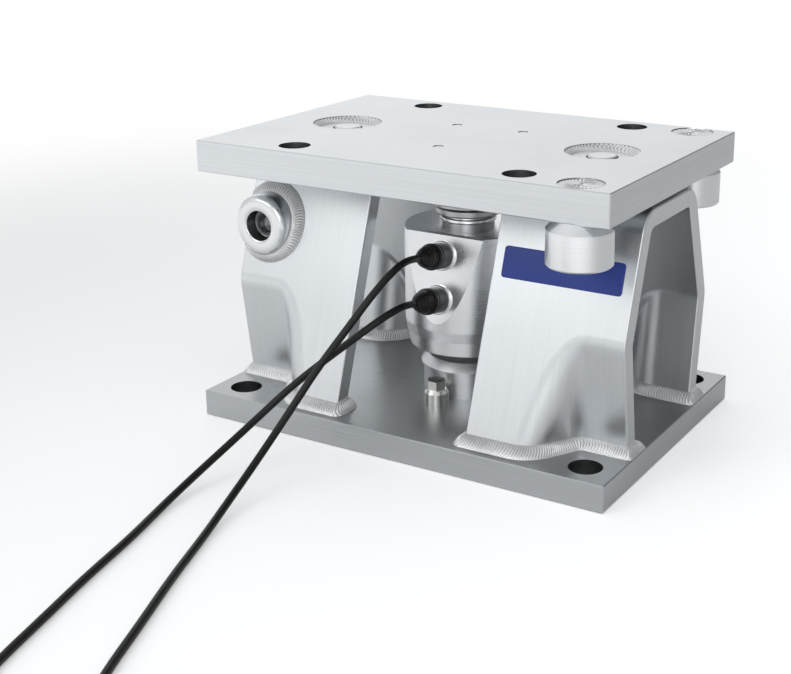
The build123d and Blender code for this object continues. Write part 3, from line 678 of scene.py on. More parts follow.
def leg_corners(height, press_corner_x):
    """Corner points of the middle of a bracket leg's plate at one height."""
    half_wall = BRACKET_WALL / 2
    knee_half_width = ROOF_HALF_WIDTH + (ROOF_TOP - BASE_TOP - PRESS_HEIGHT) * LEG_SLOPE
    press_slope = (knee_half_width - PRESS_HALF_WIDTH) / PRESS_HEIGHT
    flare_y = ROOF_HALF_WIDTH + (ROOF_TOP - height) * LEG_SLOPE
    flare_y -= half_wall / cos(atan(LEG_SLOPE))
    press_y = PRESS_HALF_WIDTH + (height - BASE_TOP) * press_slope
    press_y -= half_wall / cos(atan(press_slope))
    corner_x = press_corner_x - half_wall * tan(PRESS_WALL_ANGLE / 2)
    crease_x = corner_x - (flare_y - press_y) / tan(PRESS_WALL_ANGLE)
    return (
        (BRACKET_INNER_X, flare_y),
        (crease_x, flare_y),
        (corner_x, press_y),
        (BRACKET_OUTER_X, press_y),
    )


def leg_outline(height, press_corner_x):
    """Closed outline of a leg's plate at one height, with its outward normals.

    The middle line is offset by half the wall to both sides, and at each end of the plate
    the normal swings through a right angle at the corner, over the end and on.
    """
    radii = (CREASE_MIDDLE_RADIUS, CORNER_MIDDLE_RADIUS)
    line, along = bent_line(leg_corners(height, press_corner_x), radii)
    normal = np.stack([-along[:, 1], along[:, 0]], axis=1)
    half_wall = BRACKET_WALL / 2
    near, far = line + normal * half_wall, line - normal * half_wall
    swing = np.linspace(0, pi / 2, 8)[1:-1, None]
    share = np.linspace(0, 1, 8)[:, None]

    def corner(place, before, after):
        return np.repeat(place[None], 6, axis=0), before * np.cos(swing) + after * np.sin(swing)

    def end(first, last, outward):
        return first + (last - first) * share, np.repeat(outward[None], 8, axis=0)

    parts = [
        (near, normal),
        corner(near[-1], normal[-1], along[-1]),
        end(near[-1], far[-1], along[-1]),
        corner(far[-1], along[-1], -normal[-1]),
        (far[::-1], -normal[::-1]),
        corner(far[0], -normal[0], -along[0]),
        end(far[0], near[0], -along[0]),
        corner(near[0], -along[0], normal[0]),
    ]
    return np.concatenate([p for p, _ in parts]), np.concatenate([n for _, n in parts])


def circle(count):
    """Equal angles all round, without the last one, which would be the first again."""
    return np.linspace(0, 2 * pi, count, endpoint=False)


def walk_evenly(path, values, count):
    """Values along a closed path, taken again at equal distances along it."""
    loop = np.concatenate([path, path[:1]])
    steps = np.linalg.norm(np.diff(loop, axis=0), axis=1)
    distance = np.concatenate([[0], np.cumsum(steps)])
    kept = np.concatenate([[True], np.diff(distance) > 1e-6])
    places = np.linspace(0, distance[-1], count, endpoint=False)
    closed = np.concatenate([values, values[:1]])
    taken = [np.interp(places, distance[kept], closed[kept, k]) for k in range(closed.shape[1])]
    return np.stack(taken, axis=1), places


def ripple(distance, across, pitch):
    """Height of a bead's fish-scale ripples, from 0 in the grooves to 1 on the crests.

    The grooves are where a sine along the bead passes zero; they bow forward in the middle
    of the bead, and slow waves make their spacing and depth uneven, as a hand does.
    """
    wander = 0.5 * np.sin(distance / 13.0) + 0.3 * np.sin(distance / 4.7 + 1.0)
    bow = 2.4 * (1 - (2 * across - 1) ** 2) * (1 + 0.25 * np.sin(distance / 11.0 + 2.0))
    phase = (distance - bow) / pitch + wander * 0.6
    crest = np.abs(np.sin(pi * phase)) ** 0.6
    return crest * (0.85 + 0.15 * np.sin(distance / 7.3 + 0.7 + 3 * across))


def whole_pitch(total, wanted):
    """The ripple pitch nearest to the wanted one that closes a bead without a step."""
    return total / round(total / wanted)


def bulged_face(toe, top, lift, across, crest, depth, share):
    """Face of a fillet bead from its toe to its top: a round bulge with the ripples on it."""
    bulge = 4 * across * (1 - across)
    swell = (bulge + depth * (crest - 0.4) * np.sqrt(bulge)) * share[:, None]
    chord = toe[:, None] + (top - toe)[:, None] * across[None, :, None]
    return chord + lift[:, None] * swell[:, :, None]


def bead_piece(name, points, finish, crest, **closing):
    """Weld bead over its points, with two flat columns of ripples for its hidden sides."""
    ripples = np.hstack([crest, np.full((len(crest), 2), 0.6)])
    return surface(name, points, finish, "weld", sharp=WELD_CREASE, ripples=ripples, **closing)


def foot_bead(name, end, side, settings, finish):
    """Bead round the foot of one leg.

    At each point of the leg's outline a section runs from the toe on the base plate, over
    a round bulge with the ripples on it, to the leg's face, and back through the plate.
    """
    press_corner_x = PRESS_CORNER_X[end]
    leg = settings.foot_leg / MM
    height = settings.foot_height / MM
    depth = settings.ripple_depth / MM
    foot, outward = leg_outline(BASE_TOP, press_corner_x)
    upper, _ = leg_outline(BASE_TOP + height, press_corner_x)
    tread = foot + outward * leg * 0.6
    count = int(np.linalg.norm(np.diff(tread, axis=0), axis=1).sum() / FOOT_ROW_SPACING)
    rows, distance = walk_evenly(tread, np.hstack([foot, outward, upper]), count)
    total = distance[-1] * count / (count - 1)
    pitch = whole_pitch(total, settings.ripple_pitch / MM)
    foot, outward, upper = rows[:, :2], rows[:, 2:4], rows[:, 4:]
    outward = outward / np.linalg.norm(outward, axis=1, keepdims=True)
    across = np.linspace(0, 1, FILLET_COLUMNS)
    crest = ripple(distance[:, None], across[None], pitch)
    to_end = (BASE_END - 0.6 - foot[:, 0]) / np.maximum(outward[:, 0], 0.05)
    room = np.where(outward[:, 0] > 0, to_end, 99)
    reach = np.minimum(leg + 0.5 * (crest[:, 0] - 0.5), room)
    toe = np.column_stack([foot + outward * reach[:, None], np.full(count, BASE_TOP - 0.2)])
    top_height = BASE_TOP + height + 0.8 * (crest[:, -1] - 0.5)
    top = np.column_stack([upper - outward * 0.25, top_height])
    lift = np.column_stack([outward, np.ones(count)]) / sqrt(2)
    face = bulged_face(toe, top, lift, across, crest, depth, reach / leg)
    back = top + np.column_stack([-outward * 2.2, np.full(count, -1.0)])
    heel = np.column_stack([foot - outward * 2.2, np.full(count, BASE_TOP - 0.2)])
    points = np.concatenate([face, back[:, None], heel[:, None]], axis=1)
    points[:, :, 1] *= side
    points[:, :, 0] *= 1 if end == "right" else -1
    piece = bead_piece(name, points, finish, crest)
    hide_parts(name.replace("bead", "weld"))
    return piece


def boss_bead(name, settings, finish):
    """Bead round the boss, a fillet between the leaning leg and the boss's round side.

    At each angle round the boss the section runs from the toe on the leg to the boss, with
    the ripples on its bulge; the toe stops at the end of the bracket.
    """
    depth = settings.ripple_depth / MM
    leg, count = BOSS_WELD_LEG, 900
    angle = circle(count)
    distance = angle * (BOSS_RADIUS + leg / 2)
    pitch = whole_pitch(distance[1] * count, settings.ripple_pitch / MM)
    across = np.linspace(0, 1, FILLET_COLUMNS)
    crest = ripple(distance[:, None], across[None], pitch)
    end_room = (BRACKET_OUTER_X + BOSS_X - 0.2) / np.maximum(-np.cos(angle), 0.05)
    toe_radius = np.minimum(BOSS_RADIUS + leg + 0.5 * (crest[:, 0] - 0.5), end_room)
    toe_radius = np.maximum(toe_radius, BOSS_RADIUS + 0.3)

    def on_leg(radius, rise):
        height = BOSS_HEIGHT + radius * np.sin(angle)
        face_y = -(ROOF_HALF_WIDTH + (ROOF_TOP - height) * LEG_SLOPE) - rise
        return np.stack([BOSS_X + radius * np.cos(angle), face_y, height], axis=1)

    share = (toe_radius - BOSS_RADIUS) / leg
    toe = on_leg(toe_radius, -0.2)
    top = on_leg(np.full(count, BOSS_RADIUS - 0.2), leg * np.clip(share, 0.25, 1) + 0.3)
    lift = np.stack([np.cos(angle), -np.ones(count), np.sin(angle)], axis=1) / sqrt(2)
    face = bulged_face(toe, top, lift, across, crest, depth, np.clip(share, 0, 1))
    inside = np.full(count, BOSS_RADIUS - 2)
    back, heel = on_leg(inside, leg * 0.5), on_leg(inside, -0.2)
    points = np.concatenate([face, back[:, None], heel[:, None]], axis=1)
    piece = bead_piece(name, points, finish, crest)
    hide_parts("side_boss_weld")
    return piece


def rounded_boss(name, finish):
    """The boss, with the full rounding of its front edge and a stepped bore, which its finish
    paints dark as shade.

    A profile of radius and depth is turned about the boss's axis; its last two points lie
    a little behind the leaning face of the leg, whose depth follows the height.
    """
    front, rounding, shoulder = -BOSS_FRONT, BOSS_ROUNDING, BOSS_BORE_DEPTH
    swing = np.linspace(0, pi / 2, 12)
    edge = BOSS_RADIUS - rounding
    bore = [
        (BOSS_HOLE_RADIUS, front + shoulder),
        (BOSS_BORE_RADIUS - 0.4, front + shoulder),
        (BOSS_BORE_RADIUS, front + shoulder - 0.4),
        (BOSS_BORE_RADIUS, front + 0.9),
        (BOSS_BORE_RADIUS + 0.9, front),
        (edge - 3, front),
    ]
    arc = edge + rounding * np.sin(swing), front + rounding * (1 - np.cos(swing))
    arc = np.stack(arc, axis=1)
    profile = np.concatenate([bore, arc, [(BOSS_RADIUS, front + rounding + 2)]])
    angle = circle(192)[:, None]
    radius = np.repeat(profile[None, :, 0], len(angle), axis=0)
    depth = np.repeat(profile[None, :, 1], len(angle), axis=0)
    radius = np.hstack([radius, radius[:, -1:], radius[:, :1]])
    height = BOSS_HEIGHT + radius * np.sin(angle)
    leaning = 2 - ROOF_HALF_WIDTH - (ROOF_TOP - height[:, -2:]) * LEG_SLOPE
    y = np.hstack([depth, leaning])
    points = np.stack([BOSS_X + radius * np.cos(angle), y, height], axis=-1)
    piece = surface(name, points, finish, "plate_steel", sharp=radians(50))
    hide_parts("side_boss")
    return piece


def ring_bead(name, end, settings, finish):
    """Bead between a hold-down disc and the top plate.

    A ring whose face falls from the plate's top to the disc, with ripples cut into it; it
    is closed below along the cone of its seat.
    """
    sign = 1 if end == "right" else -1
    depth = settings.ripple_depth / MM * 1.5
    count = 800
    angle = circle(count)
    distance = angle * HOLD_DOWN_WELD_RADIUS
    pitch = whole_pitch(distance[1] * count, settings.ripple_pitch / MM * 1.6)
    across = np.linspace(0, 1, RING_COLUMNS)
    crest = ripple(distance[:, None], across[None], pitch)
    outer = HOLD_DOWN_WELD_RADIUS + 0.35 * (crest[:, :1] - 0.5)
    inner = HOLD_DOWN_DISC_RADIUS - 0.1
    radius = outer + (inner - outer) * across
    fall = 0.45 + (TOP_FACE - HOLD_DOWN_DISC_TOP - 0.9) * across**1.15
    edge = np.minimum(1, 6 * across)
    height = TOP_FACE - fall - depth * (1 - crest) * (1 - 0.5 * across) * edge
    height[:, 0] = TOP_FACE - 0.02
    radius = np.hstack([radius, np.full((count, 2), inner)])
    height = np.hstack([height, np.full((count, 2), RING_WELD_SEAT)])
    x = sign * HOLD_DOWN_X + radius * np.cos(angle)[:, None]
    points = np.stack([x, radius * np.sin(angle)[:, None], height], axis=-1)
    piece = bead_piece(name, points, finish, crest)
    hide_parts(end + "_hold_down_weld")
    return piece


def rosette(name, leg, settings, finish):
    """Plug weld over a jacking post.

    A disc whose outer half carries 32 short curved ripples, laid like petals, around a
    middle with 16 wider ones; it is closed below by the end of the post's spigot.
    """
    side = 1 if leg == "back" else -1
    depth = settings.ripple_depth / MM
    count = 480
    radius = np.linspace(0, PLUG_WELD_RADIUS, 40)
    spin, out = np.meshgrid(circle(count), radius, indexing="ij")
    share = out / PLUG_WELD_RADIUS
    bent = 5.0 * (share - 0.7) ** 2
    petals = np.abs(np.sin(16 * spin + bent * 6 + 0.6 * np.sin(5 * spin))) ** 0.8
    inner = np.abs(np.sin(8 * spin - 5 * share + 0.5 * np.sin(3 * spin))) ** 0.8
    outer = np.clip((share - 0.5) * 12, 0, 1)
    crest = (inner * (1 - outer) + petals * outer) * np.clip(share * 9, 0, 1)
    height = TOP_FACE - 0.12 - 0.9 * share**6 - depth * 1.7 * (1 - crest) * (1 - share**12)
    height = np.hstack([height, np.full((count, 2), PLUG_WELD_SEAT)])
    out = np.hstack([out, np.full((count, 2), (PLUG_WELD_RADIUS - 3.6, 0.0))])
    spin = np.hstack([spin, spin[:, :2]])
    x, y = POST_X + out * np.cos(spin), side * POST_Y + out * np.sin(spin)
    points = np.stack([x, y, height], axis=-1)
    piece = bead_piece(name, points, finish, crest, close_columns=False)
    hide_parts(leg + "_post_plug_weld")
    return piece


def label_plate(name, length, finish):
    """Bare label plate on the right bracket's front leg.

    Rings of one rounded rectangle: a point and two shrunken rings on the front, the full
    ring at the edge's two heights and a point on the back, all laid on the leaning leg.
    """
    half_length, half_width = length / MM / 2, LABEL_HALF_WIDTH
    radius, thick = LABEL_CORNER, LABEL_THICKNESS
    corner = np.linspace(0, pi / 2, 10)
    quarter = [np.array([cos(k * pi / 2), sin(k * pi / 2)]) for k in range(4)]
    centres = [(1, 1), (-1, 1), (-1, -1), (1, -1)]
    outline = []
    for (sx, sy), turn in zip(centres, quarter):
        across = np.cos(corner) * turn[0] - np.sin(corner) * turn[1]
        up = np.cos(corner) * turn[1] + np.sin(corner) * turn[0]
        arc = np.stack([across, up], axis=1)
        middle = np.array([sx * (half_length - radius), sy * (half_width - radius)])
        outline.append(middle + radius * arc)
    outline = np.concatenate(outline)
    away = outline / np.array([half_length, half_width])
    rings = [
        (outline * 0, thick),
        (outline - away * 1.0, thick),
        (outline - away * 0.25, thick - 0.06),
        (outline, thick - 0.25),
        (outline, -0.15),
        (outline * 0, -0.15),
    ]
    lean = atan(LEG_SLOPE)
    middle_y = -(ROOF_HALF_WIDTH + (ROOF_TOP - LABEL_HEIGHT) * LEG_SLOPE)
    rows = []
    for ring, rise in rings:
        x = LABEL_X + ring[:, 0]
        y = middle_y + ring[:, 1] * sin(lean) - rise * cos(lean)
        z = LABEL_HEIGHT + ring[:, 1] * cos(lean) + rise * sin(lean)
        rows.append(np.stack([x, y, z], axis=1))
    rows = np.array(rows)
    return surface(name, rows, finish, "plug_plastic", close_rows=False, sharp=radians(40))


def knurled_nut(name, plane, along, finish):
    """Coupling nut of a plug: a turned profile whose grip is cut into straight ribs.

    The radius at each angle is the profile's radius less the ribs' depth where the
    profile's grip mask is 1.
    """
    r, end, bore = PLUG_NUT_RADIUS, PLUG_NUT_LENGTH, PLUG_NUT_BORE
    profile = np.array(
        [
            (bore, 0, 0), (r - 1.2, 0, 0), (r - 0.5, 0.4, 0), (r - 0.5, 1.8, 0),
            (r - 1.0, 2.1, 0), (r - 0.9, 2.5, 0.2), (r, 3.1, 1), (r, 8.0, 1), (r, 12.4, 1),
            (r - 0.9, 13.0, 0.2), (r - 1.0, 13.3, 0), (r - 0.6, 13.7, 0), (r - 0.6, 15.4, 0),
            (r - 1.0, end, 0), (bore, end, 0),
        ]
    )
    angle = circle(288)
    ribs = 0.55 * (1 - np.abs(np.sin(18 * angle)) ** 0.7)
    radius = profile[None, :, 0] - ribs[:, None] * profile[None, :, 2]
    side = np.array([-along[1], along[0], 0.0])
    up = np.array([0.0, 0.0, 1.0])
    points = (
        plane[None, None]
        + along[None, None] * (PLUG_BODY_LENGTH + profile[None, :, 1, None])
        + side * (radius * np.cos(angle)[:, None])[:, :, None]
        + up * (radius * np.sin(angle)[:, None])[:, :, None]
    )
    return surface(name, points, finish, "bright_steel", sharp=radians(45))


# Cables


def coil_layout(route, hand):
    """Joint, centre and starting angle of a coil, and the plug's place and direction."""
    route = np.array(route, float)
    arrive = route[-1] - route[-2]
    arrive /= np.linalg.norm(arrive)
    square = np.array([-arrive[1], arrive[0], 0.0]) * hand
    joint = route[-1] + arrive * COIL_STUB
    centre = joint + square * COIL_OUTER_TURN
    turn = hand * COIL_LEAVE_ANGLE
    x, y = arrive[:2]
    leave = np.array([x * cos(turn) - y * sin(turn), x * sin(turn) + y * cos(turn), 0.0])
    leave_square = np.array([-leave[1], leave[0], 0.0]) * hand
    start = centre - leave_square * COIL_OUTER_TURN
    start[2] = PLUG_HEIGHT
    first = np.arctan2(joint[1] - centre[1], joint[0] - centre[0])
    return joint, centre, first, start + leave * PLUG_STUB, leave


def coil_points(centre, first, hand):
    """Control points of a coil of two layers.

    The lower layer winds inward by a diameter a turn for three turns. One turn climbs on
    the inside, a diameter from the strands below and above it all the way: its place is
    the third corner on two circles of a diameter round them. The upper layer winds back
    outward for three turns, and a last short arc turns towards the plug.
    """
    pitch = 2 * CABLE_RADIUS
    climb_end = LAYER_TURNS + 1
    turns = np.arange(1, COIL_TURNS * TURN_POINTS + 1) / TURN_POINTS
    inward = turns <= LAYER_TURNS
    climb = (turns > LAYER_TURNS) & (turns < climb_end)
    t = np.clip(turns - LAYER_TURNS, 0, 1)
    half = 0.5 * np.sqrt(1 + (2 * t - 1) ** 2)
    reach = np.sqrt(1 - half**2) / (2 * half)
    radius = np.where(inward, COIL_OUTER_TURN - pitch * turns, 0.0)
    radius = np.where(climb, COIL_INNER_TURN + pitch * (0.5 - reach), radius)
    outward = turns >= climb_end
    radius = np.where(outward, COIL_INNER_TURN + pitch * (turns - climb_end), radius)
    height = np.where(inward, CABLE_RADIUS, CABLE_RADIUS + pitch)
    height = np.where(climb, CABLE_RADIUS + pitch * (0.5 + (2 * t - 1) * reach), height)
    turns = np.append(turns, COIL_TURNS + COIL_LEAVE_ANGLE / (2 * pi))
    radius = np.append(radius, COIL_OUTER_TURN)
    height = np.append(height, CABLE_RADIUS + pitch)
    angle = first + hand * turns * 2 * pi
    spread = radius * COIL_SPREAD
    x, y = centre[0] + spread * np.cos(angle), centre[1] + spread * np.sin(angle)
    return np.stack([x, y, height], axis=1)


def cable_curve(name, points, finish):
    """Round cable on one smooth spline with these control points."""
    curve = bpy.data.curves.new(name, "CURVE")
    curve.dimensions = "3D"
    curve.bevel_depth = CABLE_RADIUS * MM
    curve.bevel_resolution = 5
    curve.resolution_u = 5
    curve.use_fill_caps = True
    spline = curve.splines.new("NURBS")
    spline.points.add(len(points) - 1)
    weighted = np.column_stack([points * MM, np.ones(len(points))])
    spline.points.foreach_set("co", weighted.astype(np.float32).ravel())
    spline.order_u = 3
    spline.use_endpoint_u = True
    curve.materials.append(finish)
    piece = put(name, curve)
    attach(piece, "root")
    return piece


# Operators


def dress(finish, *nodes):
    """Give these nodes of the model one finish."""
    for name in nodes:
        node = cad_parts[name]
        node.data.materials.clear()
        node.data.materials.append(finish)


class WEIGHING_OT_stage(Operator):
    """Set up the camera, the floor, the room and the lamps"""

    bl_idname = "weighing.stage"
    bl_label = "Studio"

    def execute(self, context):
        scene = context.scene
        settings = scene.weighing_studio
        scene.view_settings.view_transform = "Standard"
        add_camera(scene)
        add_floor()
        add_room(scene, settings.fill_strength)
        add_lamps(settings.key_power)
        return {"FINISHED"}


def stand(item, side, up, back, place):
    """Put a camera or a lamp at a place, looking away from back."""
    matrix = np.eye(4)
    matrix[:3] = np.column_stack([side, up, back, place])
    item.matrix_world = Matrix(matrix.tolist())


def add_camera(scene):
    """Camera fitted to the plates' corners, for an optical centre that was assumed."""
    width, height, centre_x, centre_y, focal = 791, 674, 458, 267, 1378.012
    azimuth, elevation, roll = radians(30.59036504), radians(16.86146717), radians(-0.21461638)
    forward = np.array(
        [-sin(azimuth) * cos(elevation), cos(azimuth) * cos(elevation), -sin(elevation)]
    )
    right = np.array([cos(azimuth), sin(azimuth), 0.0])
    up = np.cross(right, forward)
    level = right * cos(roll) + up * sin(roll)
    upright = up * cos(roll) - right * sin(roll)
    data = bpy.data.cameras.new("camera")
    data.sensor_fit = "HORIZONTAL"
    data.sensor_width = 36
    data.lens = 36 * focal / width
    data.shift_x = (width / 2 - centre_x) / width
    data.shift_y = (centre_y - height / 2) / width
    data.clip_start = 0.05
    data.clip_end = 100
    camera = put("camera", data)
    stand(camera, level, upright, -forward, (0.6074997, -1.0467918, 0.5045089))
    scene.camera = camera


def add_floor():
    """Wide pale floor that keeps the shadow; to the camera it glows a little, more towards +x, as
    painted light, and in reflections it glows at the front and is darker behind, as painted
    reflection.
    """
    mesh = bpy.data.meshes.new("floor")
    reach = 30.0
    corners = [(-reach, -reach, 0), (reach, -reach, 0), (reach, reach, 0), (-reach, reach, 0)]
    mesh.from_pydata(corners, [], [(0, 1, 2, 3)])
    floor = put("floor", mesh)
    floor.location.z = -0.0002
    finish = Finish("floor_paper", Roughness=0.9, Specular_IOR_Level=0.1)
    x, y, _ = finish.axes()
    seen = finish.node("ShaderNodeLightPath", output="Is Camera Ray")
    mirrored = finish.node("ShaderNodeLightPath", output="Is Glossy Ray")
    smooth = {"interpolation_type": "SMOOTHSTEP"}
    out = (x * x + y * y) ** 0.5
    behind = finish.node("ShaderNodeMapRange", smooth, {0: y + x * 0.6, 1: -0.35, 2: 0.45})
    apart = finish.node("ShaderNodeMapRange", smooth, {0: out, 1: 0.25, 2: 0.95})
    away = finish.node("ShaderNodeMapRange", smooth, {0: out, 1: 0.45, 2: 1.6})
    # Painted light: a camera glow growing towards +x, and for reflections a glow in front and a
    # darker floor behind
    glow = seen * (x * 0.3 + 0.3) + mirrored * (1 - behind) * apart * 0.34
    finish.set(
        Base_Color=finish.tint(mirrored * behind, (0.86, 0.865, 0.87), (0.75, 0.75, 0.75)),
        Emission_Color=finish.tint(glow, (0, 0, 0), (1, 1, 1)),
        Emission_Strength=1.0,
    )
    white = finish.node("ShaderNodeEmission", inputs={"Color": (1, 1, 1), "Strength": 1.0})
    finish.mix(white, away * seen)
    floor.data.materials.append(finish.material)
    floor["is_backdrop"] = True


def add_room(scene, strength):
    """Room light, brightest at the left front and above; to the camera the room is white."""
    world = bpy.data.worlds.new("room")
    nodes = Nodes(world, "ShaderNodeOutputWorld")
    place = nodes.node("ShaderNodeTexCoord", output="Generated")
    brightest = {0: place, 1: (-0.42, -0.68, 0.4)}
    slope = nodes.node("ShaderNodeVectorMath", {"operation": "DOT_PRODUCT"}, brightest, "Value")
    level = nodes.node("ShaderNodeMapRange", inputs={0: slope, 1: -1, 2: 1})
    stops = [
        (where, (light * 0.985, light, light * 1.01))
        for where, light in ((0.0, 0.27), (0.35, 0.66), (0.62, 1.12), (1.0, 1.45))
    ]
    light = nodes.node("ShaderNodeValToRGB", {"stops": stops}, {0: level})
    room = nodes.node("ShaderNodeBackground", inputs={0: light, 1: strength})
    white = nodes.node("ShaderNodeBackground", inputs={0: (1, 1, 1), 1: 1.0})
    seen = nodes.node("ShaderNodeLightPath", output="Is Camera Ray")
    nodes.show(nodes.node("ShaderNodeMixShader", inputs={0: seen, 1: room, 2: white}))
    scene.world = world


def add_lamps(power):
    """Soft lamps: a key at the left front, a low one behind and a weak one at the right front."""
    lamps = (
        ("key_lamp", (-1.6, -2.9, 2.3), 2.3, power * 0.6),
        ("back_lamp", (-1.3, 2.4, 0.75), 3.0, power * 0.44),
        ("front_lamp", (0.9, -2.4, 1.1), 1.4, power * 0.24),
    )
    for name, place, size, watts in lamps:
        data = bpy.data.lights.new(name, "AREA")
        data.shape = "DISK"
        data.size = size
        data.energy = watts
        back = np.array(place) - np.array([0, 0, 0.12])
        back /= np.linalg.norm(back)
        side = np.cross([0, 0, 1], back)
        side /= np.linalg.norm(side)
        stand(put(name, data), side, np.cross(back, side), back, place)


class WEIGHING_OT_cables(Operator):
    """Lay the two cables with their coils, and finish their plugs"""

    bl_idname = "weighing.cables"
    bl_label = "Cables"

    def execute(self, context):
        jacket = black_moulding("cable_jacket", 0.002, 0.006, 0.34, 1500)
        grip = black_moulding("plug_moulding", 0.018, 0.034, 0.52, 900)
        plated = turned_steel("plug_nickel", (0.7, 0.7, 0.68), 0.24)
        for place, route, hand, length in CABLES:
            joint, centre, first, plane, leave = coil_layout(route, hand)
            turns = coil_points(centre, first, hand)
            last = plane - leave * PLUG_STUB
            points = np.concatenate(
                [route, joint[None], turns, (last + leave * 12)[None], (plane + leave * 2)[None]]
            )
            cable = cable_curve(place + "_cord", points, jacket)
            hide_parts(place + "_cable", place + "_cable_coil")
            nut = knurled_nut(place + "_coupling_nut", plane, leave, plated)
            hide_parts(place + "_plug_nut")
            dress(grip, place + "_plug_body")
        return {"FINISHED"}


class WEIGHING_OT_foot_beads(Operator):
    """Lay the rippled beads round the four feet of the brackets"""

    bl_idname = "weighing.foot_beads"
    bl_label = "Foot beads"

    def execute(self, context):
        scene = context.scene
        finish = pickled_weld("foot_weld_metal", scene.weighing_finish.weld_colour)
        for end in ("left", "right"):
            for leg, side in (("front", -1), ("back", 1)):
                foot_bead(f"{end}_{leg}_foot_bead", end, side, scene.weighing_weld, finish)
        return {"FINISHED"}


class WEIGHING_OT_boss_bead(Operator):
    """Lay the bead round the boss"""

    bl_idname = "weighing.boss_bead"
    bl_label = "Boss bead"

    def execute(self, context):
        scene = context.scene
        finish = pickled_weld("boss_weld_metal", scene.weighing_finish.weld_colour)
        boss_bead("side_boss_bead", scene.weighing_weld, finish)
        return {"FINISHED"}


class WEIGHING_OT_plate_beads(Operator):
    """Lay the ring beads and the plug welds in the top plate"""

    bl_idname = "weighing.plate_beads"
    bl_label = "Top plate welds"

    def execute(self, context):
        scene = context.scene
        finish = pickled_weld("top_weld_metal", scene.weighing_finish.weld_colour)
        for end in ("left", "right"):
            ring_bead(end + "_hold_down_bead", end, scene.weighing_weld, finish)
        for leg in ("front", "back"):
            rosette(leg + "_plug_rosette", leg, scene.weighing_weld, finish)
        return {"FINISHED"}


class WEIGHING_OT_label(Operator):
    """Put the bare label plate on the right bracket"""

    bl_idname = "weighing.label"
    bl_label = "Label plate"

    def execute(self, context):
        scene = context.scene
        paint = label_paint("label_enamel", scene.weighing_finish.label_colour)
        label_plate("label_plate", scene.weighing_studio.label_length, paint)
        return {"FINISHED"}


class WEIGHING_OT_plates(Operator):
    """Brush the plates and the brackets"""

    bl_idname = "weighing.plates"
    bl_label = "Plates and brackets"

    def execute(self, context):
        settings = context.scene.weighing_finish
        colour, roughness = tuple(settings.plate_colour), settings.plate_roughness
        top = brushed_plate("top_plate_brushed", colour, roughness, TOP_END, TOP_HALF_WIDTH)
        # Painted shade on the base plate: its steel is darkened to 0.88 of the plate colour, and
        # its top face to 0.68 of that
        dark, smoother = shade(colour, 0.88), roughness - 0.02
        base = brushed_plate(
            "base_plate_brushed", dark, smoother, BASE_END, BASE_HALF_WIDTH, top_share=0.68
        )
        dress(top, "top_plate")
        dress(base, "base_plate")
        brushed = brushed_bracket("bracket_brushed", colour, roughness)
        dress(brushed, "left_bracket", "right_bracket")
        return {"FINISHED"}


class WEIGHING_OT_turned_pieces(Operator):
    """Finish the boss, the posts and the hold-down pieces"""

    bl_idname = "weighing.turned_pieces"
    bl_label = "Boss, posts and hold-downs"

    def execute(self, context):
        colour = tuple(context.scene.weighing_finish.turned_colour)
        metal = turned_steel(
            "boss_turned",
            shade(colour, 0.92),
            0.24,
            middle=(BOSS_X, 0, BOSS_HEIGHT),
            tilt=pi / 2,
            rings=0.2,
            bore=BOSS_DARK_RADIUS,
        )
        rounded_boss("rounded_boss", metal)
        for leg, side in (("front", -1), ("back", 1)):
            middle = (POST_X, side * POST_Y, 0)
            dress(turned_steel(leg + "_post_turned", colour, 0.3, middle), leg + "_jacking_post")
        for end, sign in (("left", -1), ("right", 1)):
            middle = (sign * HOLD_DOWN_X, 0, 0)
            turned = turned_steel(end + "_disc_turned", shade(colour, 0.86), 0.34, middle)
            bright = turned_steel(end + "_nut_bright", shade(colour, 1.1), 0.22, middle)
            dress(turned, end + "_hold_down_disc", end + "_hold_down_pin")
            dress(bright, end + "_hold_down_washer", end + "_hold_down_nut")
        return {"FINISHED"}


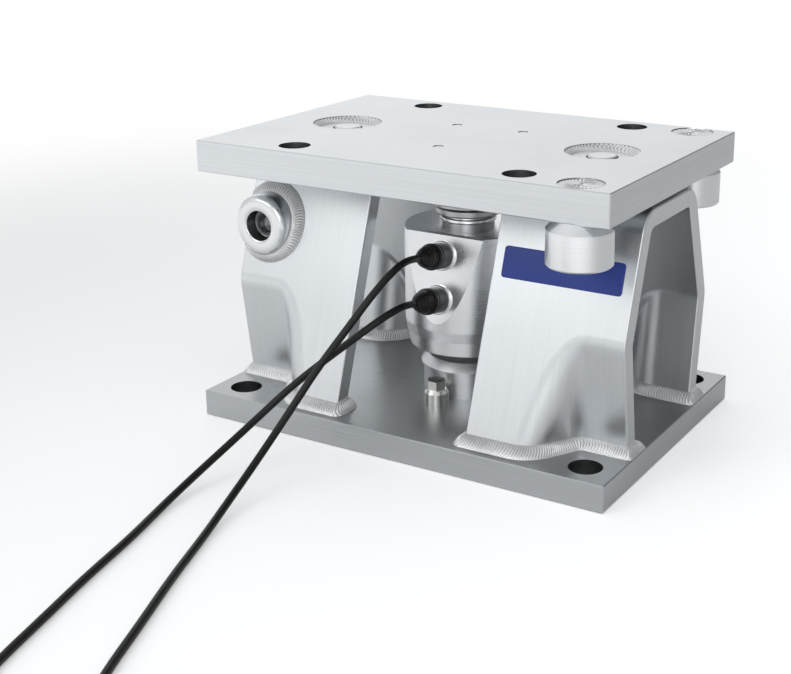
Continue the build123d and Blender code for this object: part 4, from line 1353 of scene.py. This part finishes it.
class WEIGHING_OT_load_cell(Operator):
    """Finish the load cell, its bearings and its glands"""

    bl_idname = "weighing.load_cell"
    bl_label = "Load cell"

    def execute(self, context):
        colour = tuple(context.scene.weighing_finish.turned_colour)
        satin = turned_steel("cell_satin", colour, 0.26, rings=0.04)
        bright = turned_steel("cell_bright", shade(colour, 1.1), 0.2, rings=0.06)
        dress(satin, "cell_housing")
        cup = turned_steel("cup_turned", shade(colour, 0.92), 0.36, rings=0.04)
        dress(cup, "lower_bearing_cup")
        # Painted shade under the top plate: the upper cup, neck ring and column take the turned
        # steel at 0.52, against 0.92 for the lower cup
        shaded = turned_steel("neck_painted_shade", shade(colour, 0.52), 0.3, rings=0.04)
        dress(shaded, "upper_bearing_cup", "upper_neck_ring", "measuring_column")
        dress(bright, "lower_neck_ring", "upper_bearing_disc", "lower_bearing_disc")
        stop = turned_steel("stop_pin_nickel", (0.72, 0.71, 0.68), 0.2, (0, STOP_PIN_Y, 0))
        dress(stop, "stop_pin")
        dress(turned_steel("screw_steel", shade(colour, 0.95), 0.3), "cup_screws")
        tilt = pi / 2 - GLAND_TILT
        for place, drop in GLAND_DROPS.items():
            middle = (GLAND_X, -FLAT_OFFSET - drop * tan(GLAND_TILT), CELL_TOP - drop)
            seat = turned_steel(place + "_seat_bright", shade(colour, 1.02), 0.26, middle, tilt)
            dress(seat, place + "_gland_seat")
        dress(dark_nut("gland_nut_dark"), "upper_gland_nut", "lower_gland_nut")
        boot = black_moulding("boot_rubber", 0.004, 0.012, 0.36, 1100, rib_pitch=3.0)
        dress(boot, "upper_strain_relief", "lower_strain_relief")
        dress(black_moulding("seal_rubber", 0.08, 0.12, 0.45, 1100), "lower_seal")
        dress(board_lacquer("board_lacquer"), "circuit_board")
        dress(gauge_film("gauge_film"), "strain_gauges")
        return {"FINISHED"}


OPERATORS = (
    WEIGHING_OT_stage,
    WEIGHING_OT_cables,
    WEIGHING_OT_foot_beads,
    WEIGHING_OT_boss_bead,
    WEIGHING_OT_plate_beads,
    WEIGHING_OT_label,
    WEIGHING_OT_plates,
    WEIGHING_OT_turned_pieces,
    WEIGHING_OT_load_cell,
)


class WEIGHING_PT_panel(Panel):
    """The steps that dress the weighing module, with their settings"""

    bl_idname = "WEIGHING_PT_panel"
    bl_label = "Weighing Module"
    bl_space_type = "VIEW_3D"
    bl_region_type = "UI"
    bl_category = "Weighing Module"

    def draw(self, context):
        layout = self.layout
        for group in ("weighing_studio", "weighing_weld", "weighing_finish"):
            settings = getattr(context.scene, group)
            box = layout.box()
            for name in settings.bl_rna.properties.keys():
                if name not in ("rna_type", "name"):
                    box.prop(settings, name)
        for operator in OPERATORS:
            layout.operator(operator.bl_idname)


GROUPS = (WeldSettings, FinishSettings, StudioSettings)


def register():
    for item in (*GROUPS, *OPERATORS, WEIGHING_PT_panel):
        bpy.utils.register_class(item)
    bpy.types.Scene.weighing_weld = PointerProperty(type=WeldSettings)
    bpy.types.Scene.weighing_finish = PointerProperty(type=FinishSettings)
    bpy.types.Scene.weighing_studio = PointerProperty(type=StudioSettings)


def unregister():
    for name in ("weighing_weld", "weighing_finish", "weighing_studio"):
        delattr(bpy.types.Scene, name)
    for item in reversed((*GROUPS, *OPERATORS, WEIGHING_PT_panel)):
        bpy.utils.unregister_class(item)


def box_now():
    """The shown object's box, as two plain lists."""
    bpy.context.view_layer.update()
    low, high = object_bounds()
    return [list(low), list(high)]


def main():
    before = box_now()
    register()
    for operator in OPERATORS:
        group, action = operator.bl_idname.split(".")
        getattr(getattr(bpy.ops, group), action)()
    {"cad": before, "looks": box_now()}


if __name__ == "__main__":
    main()
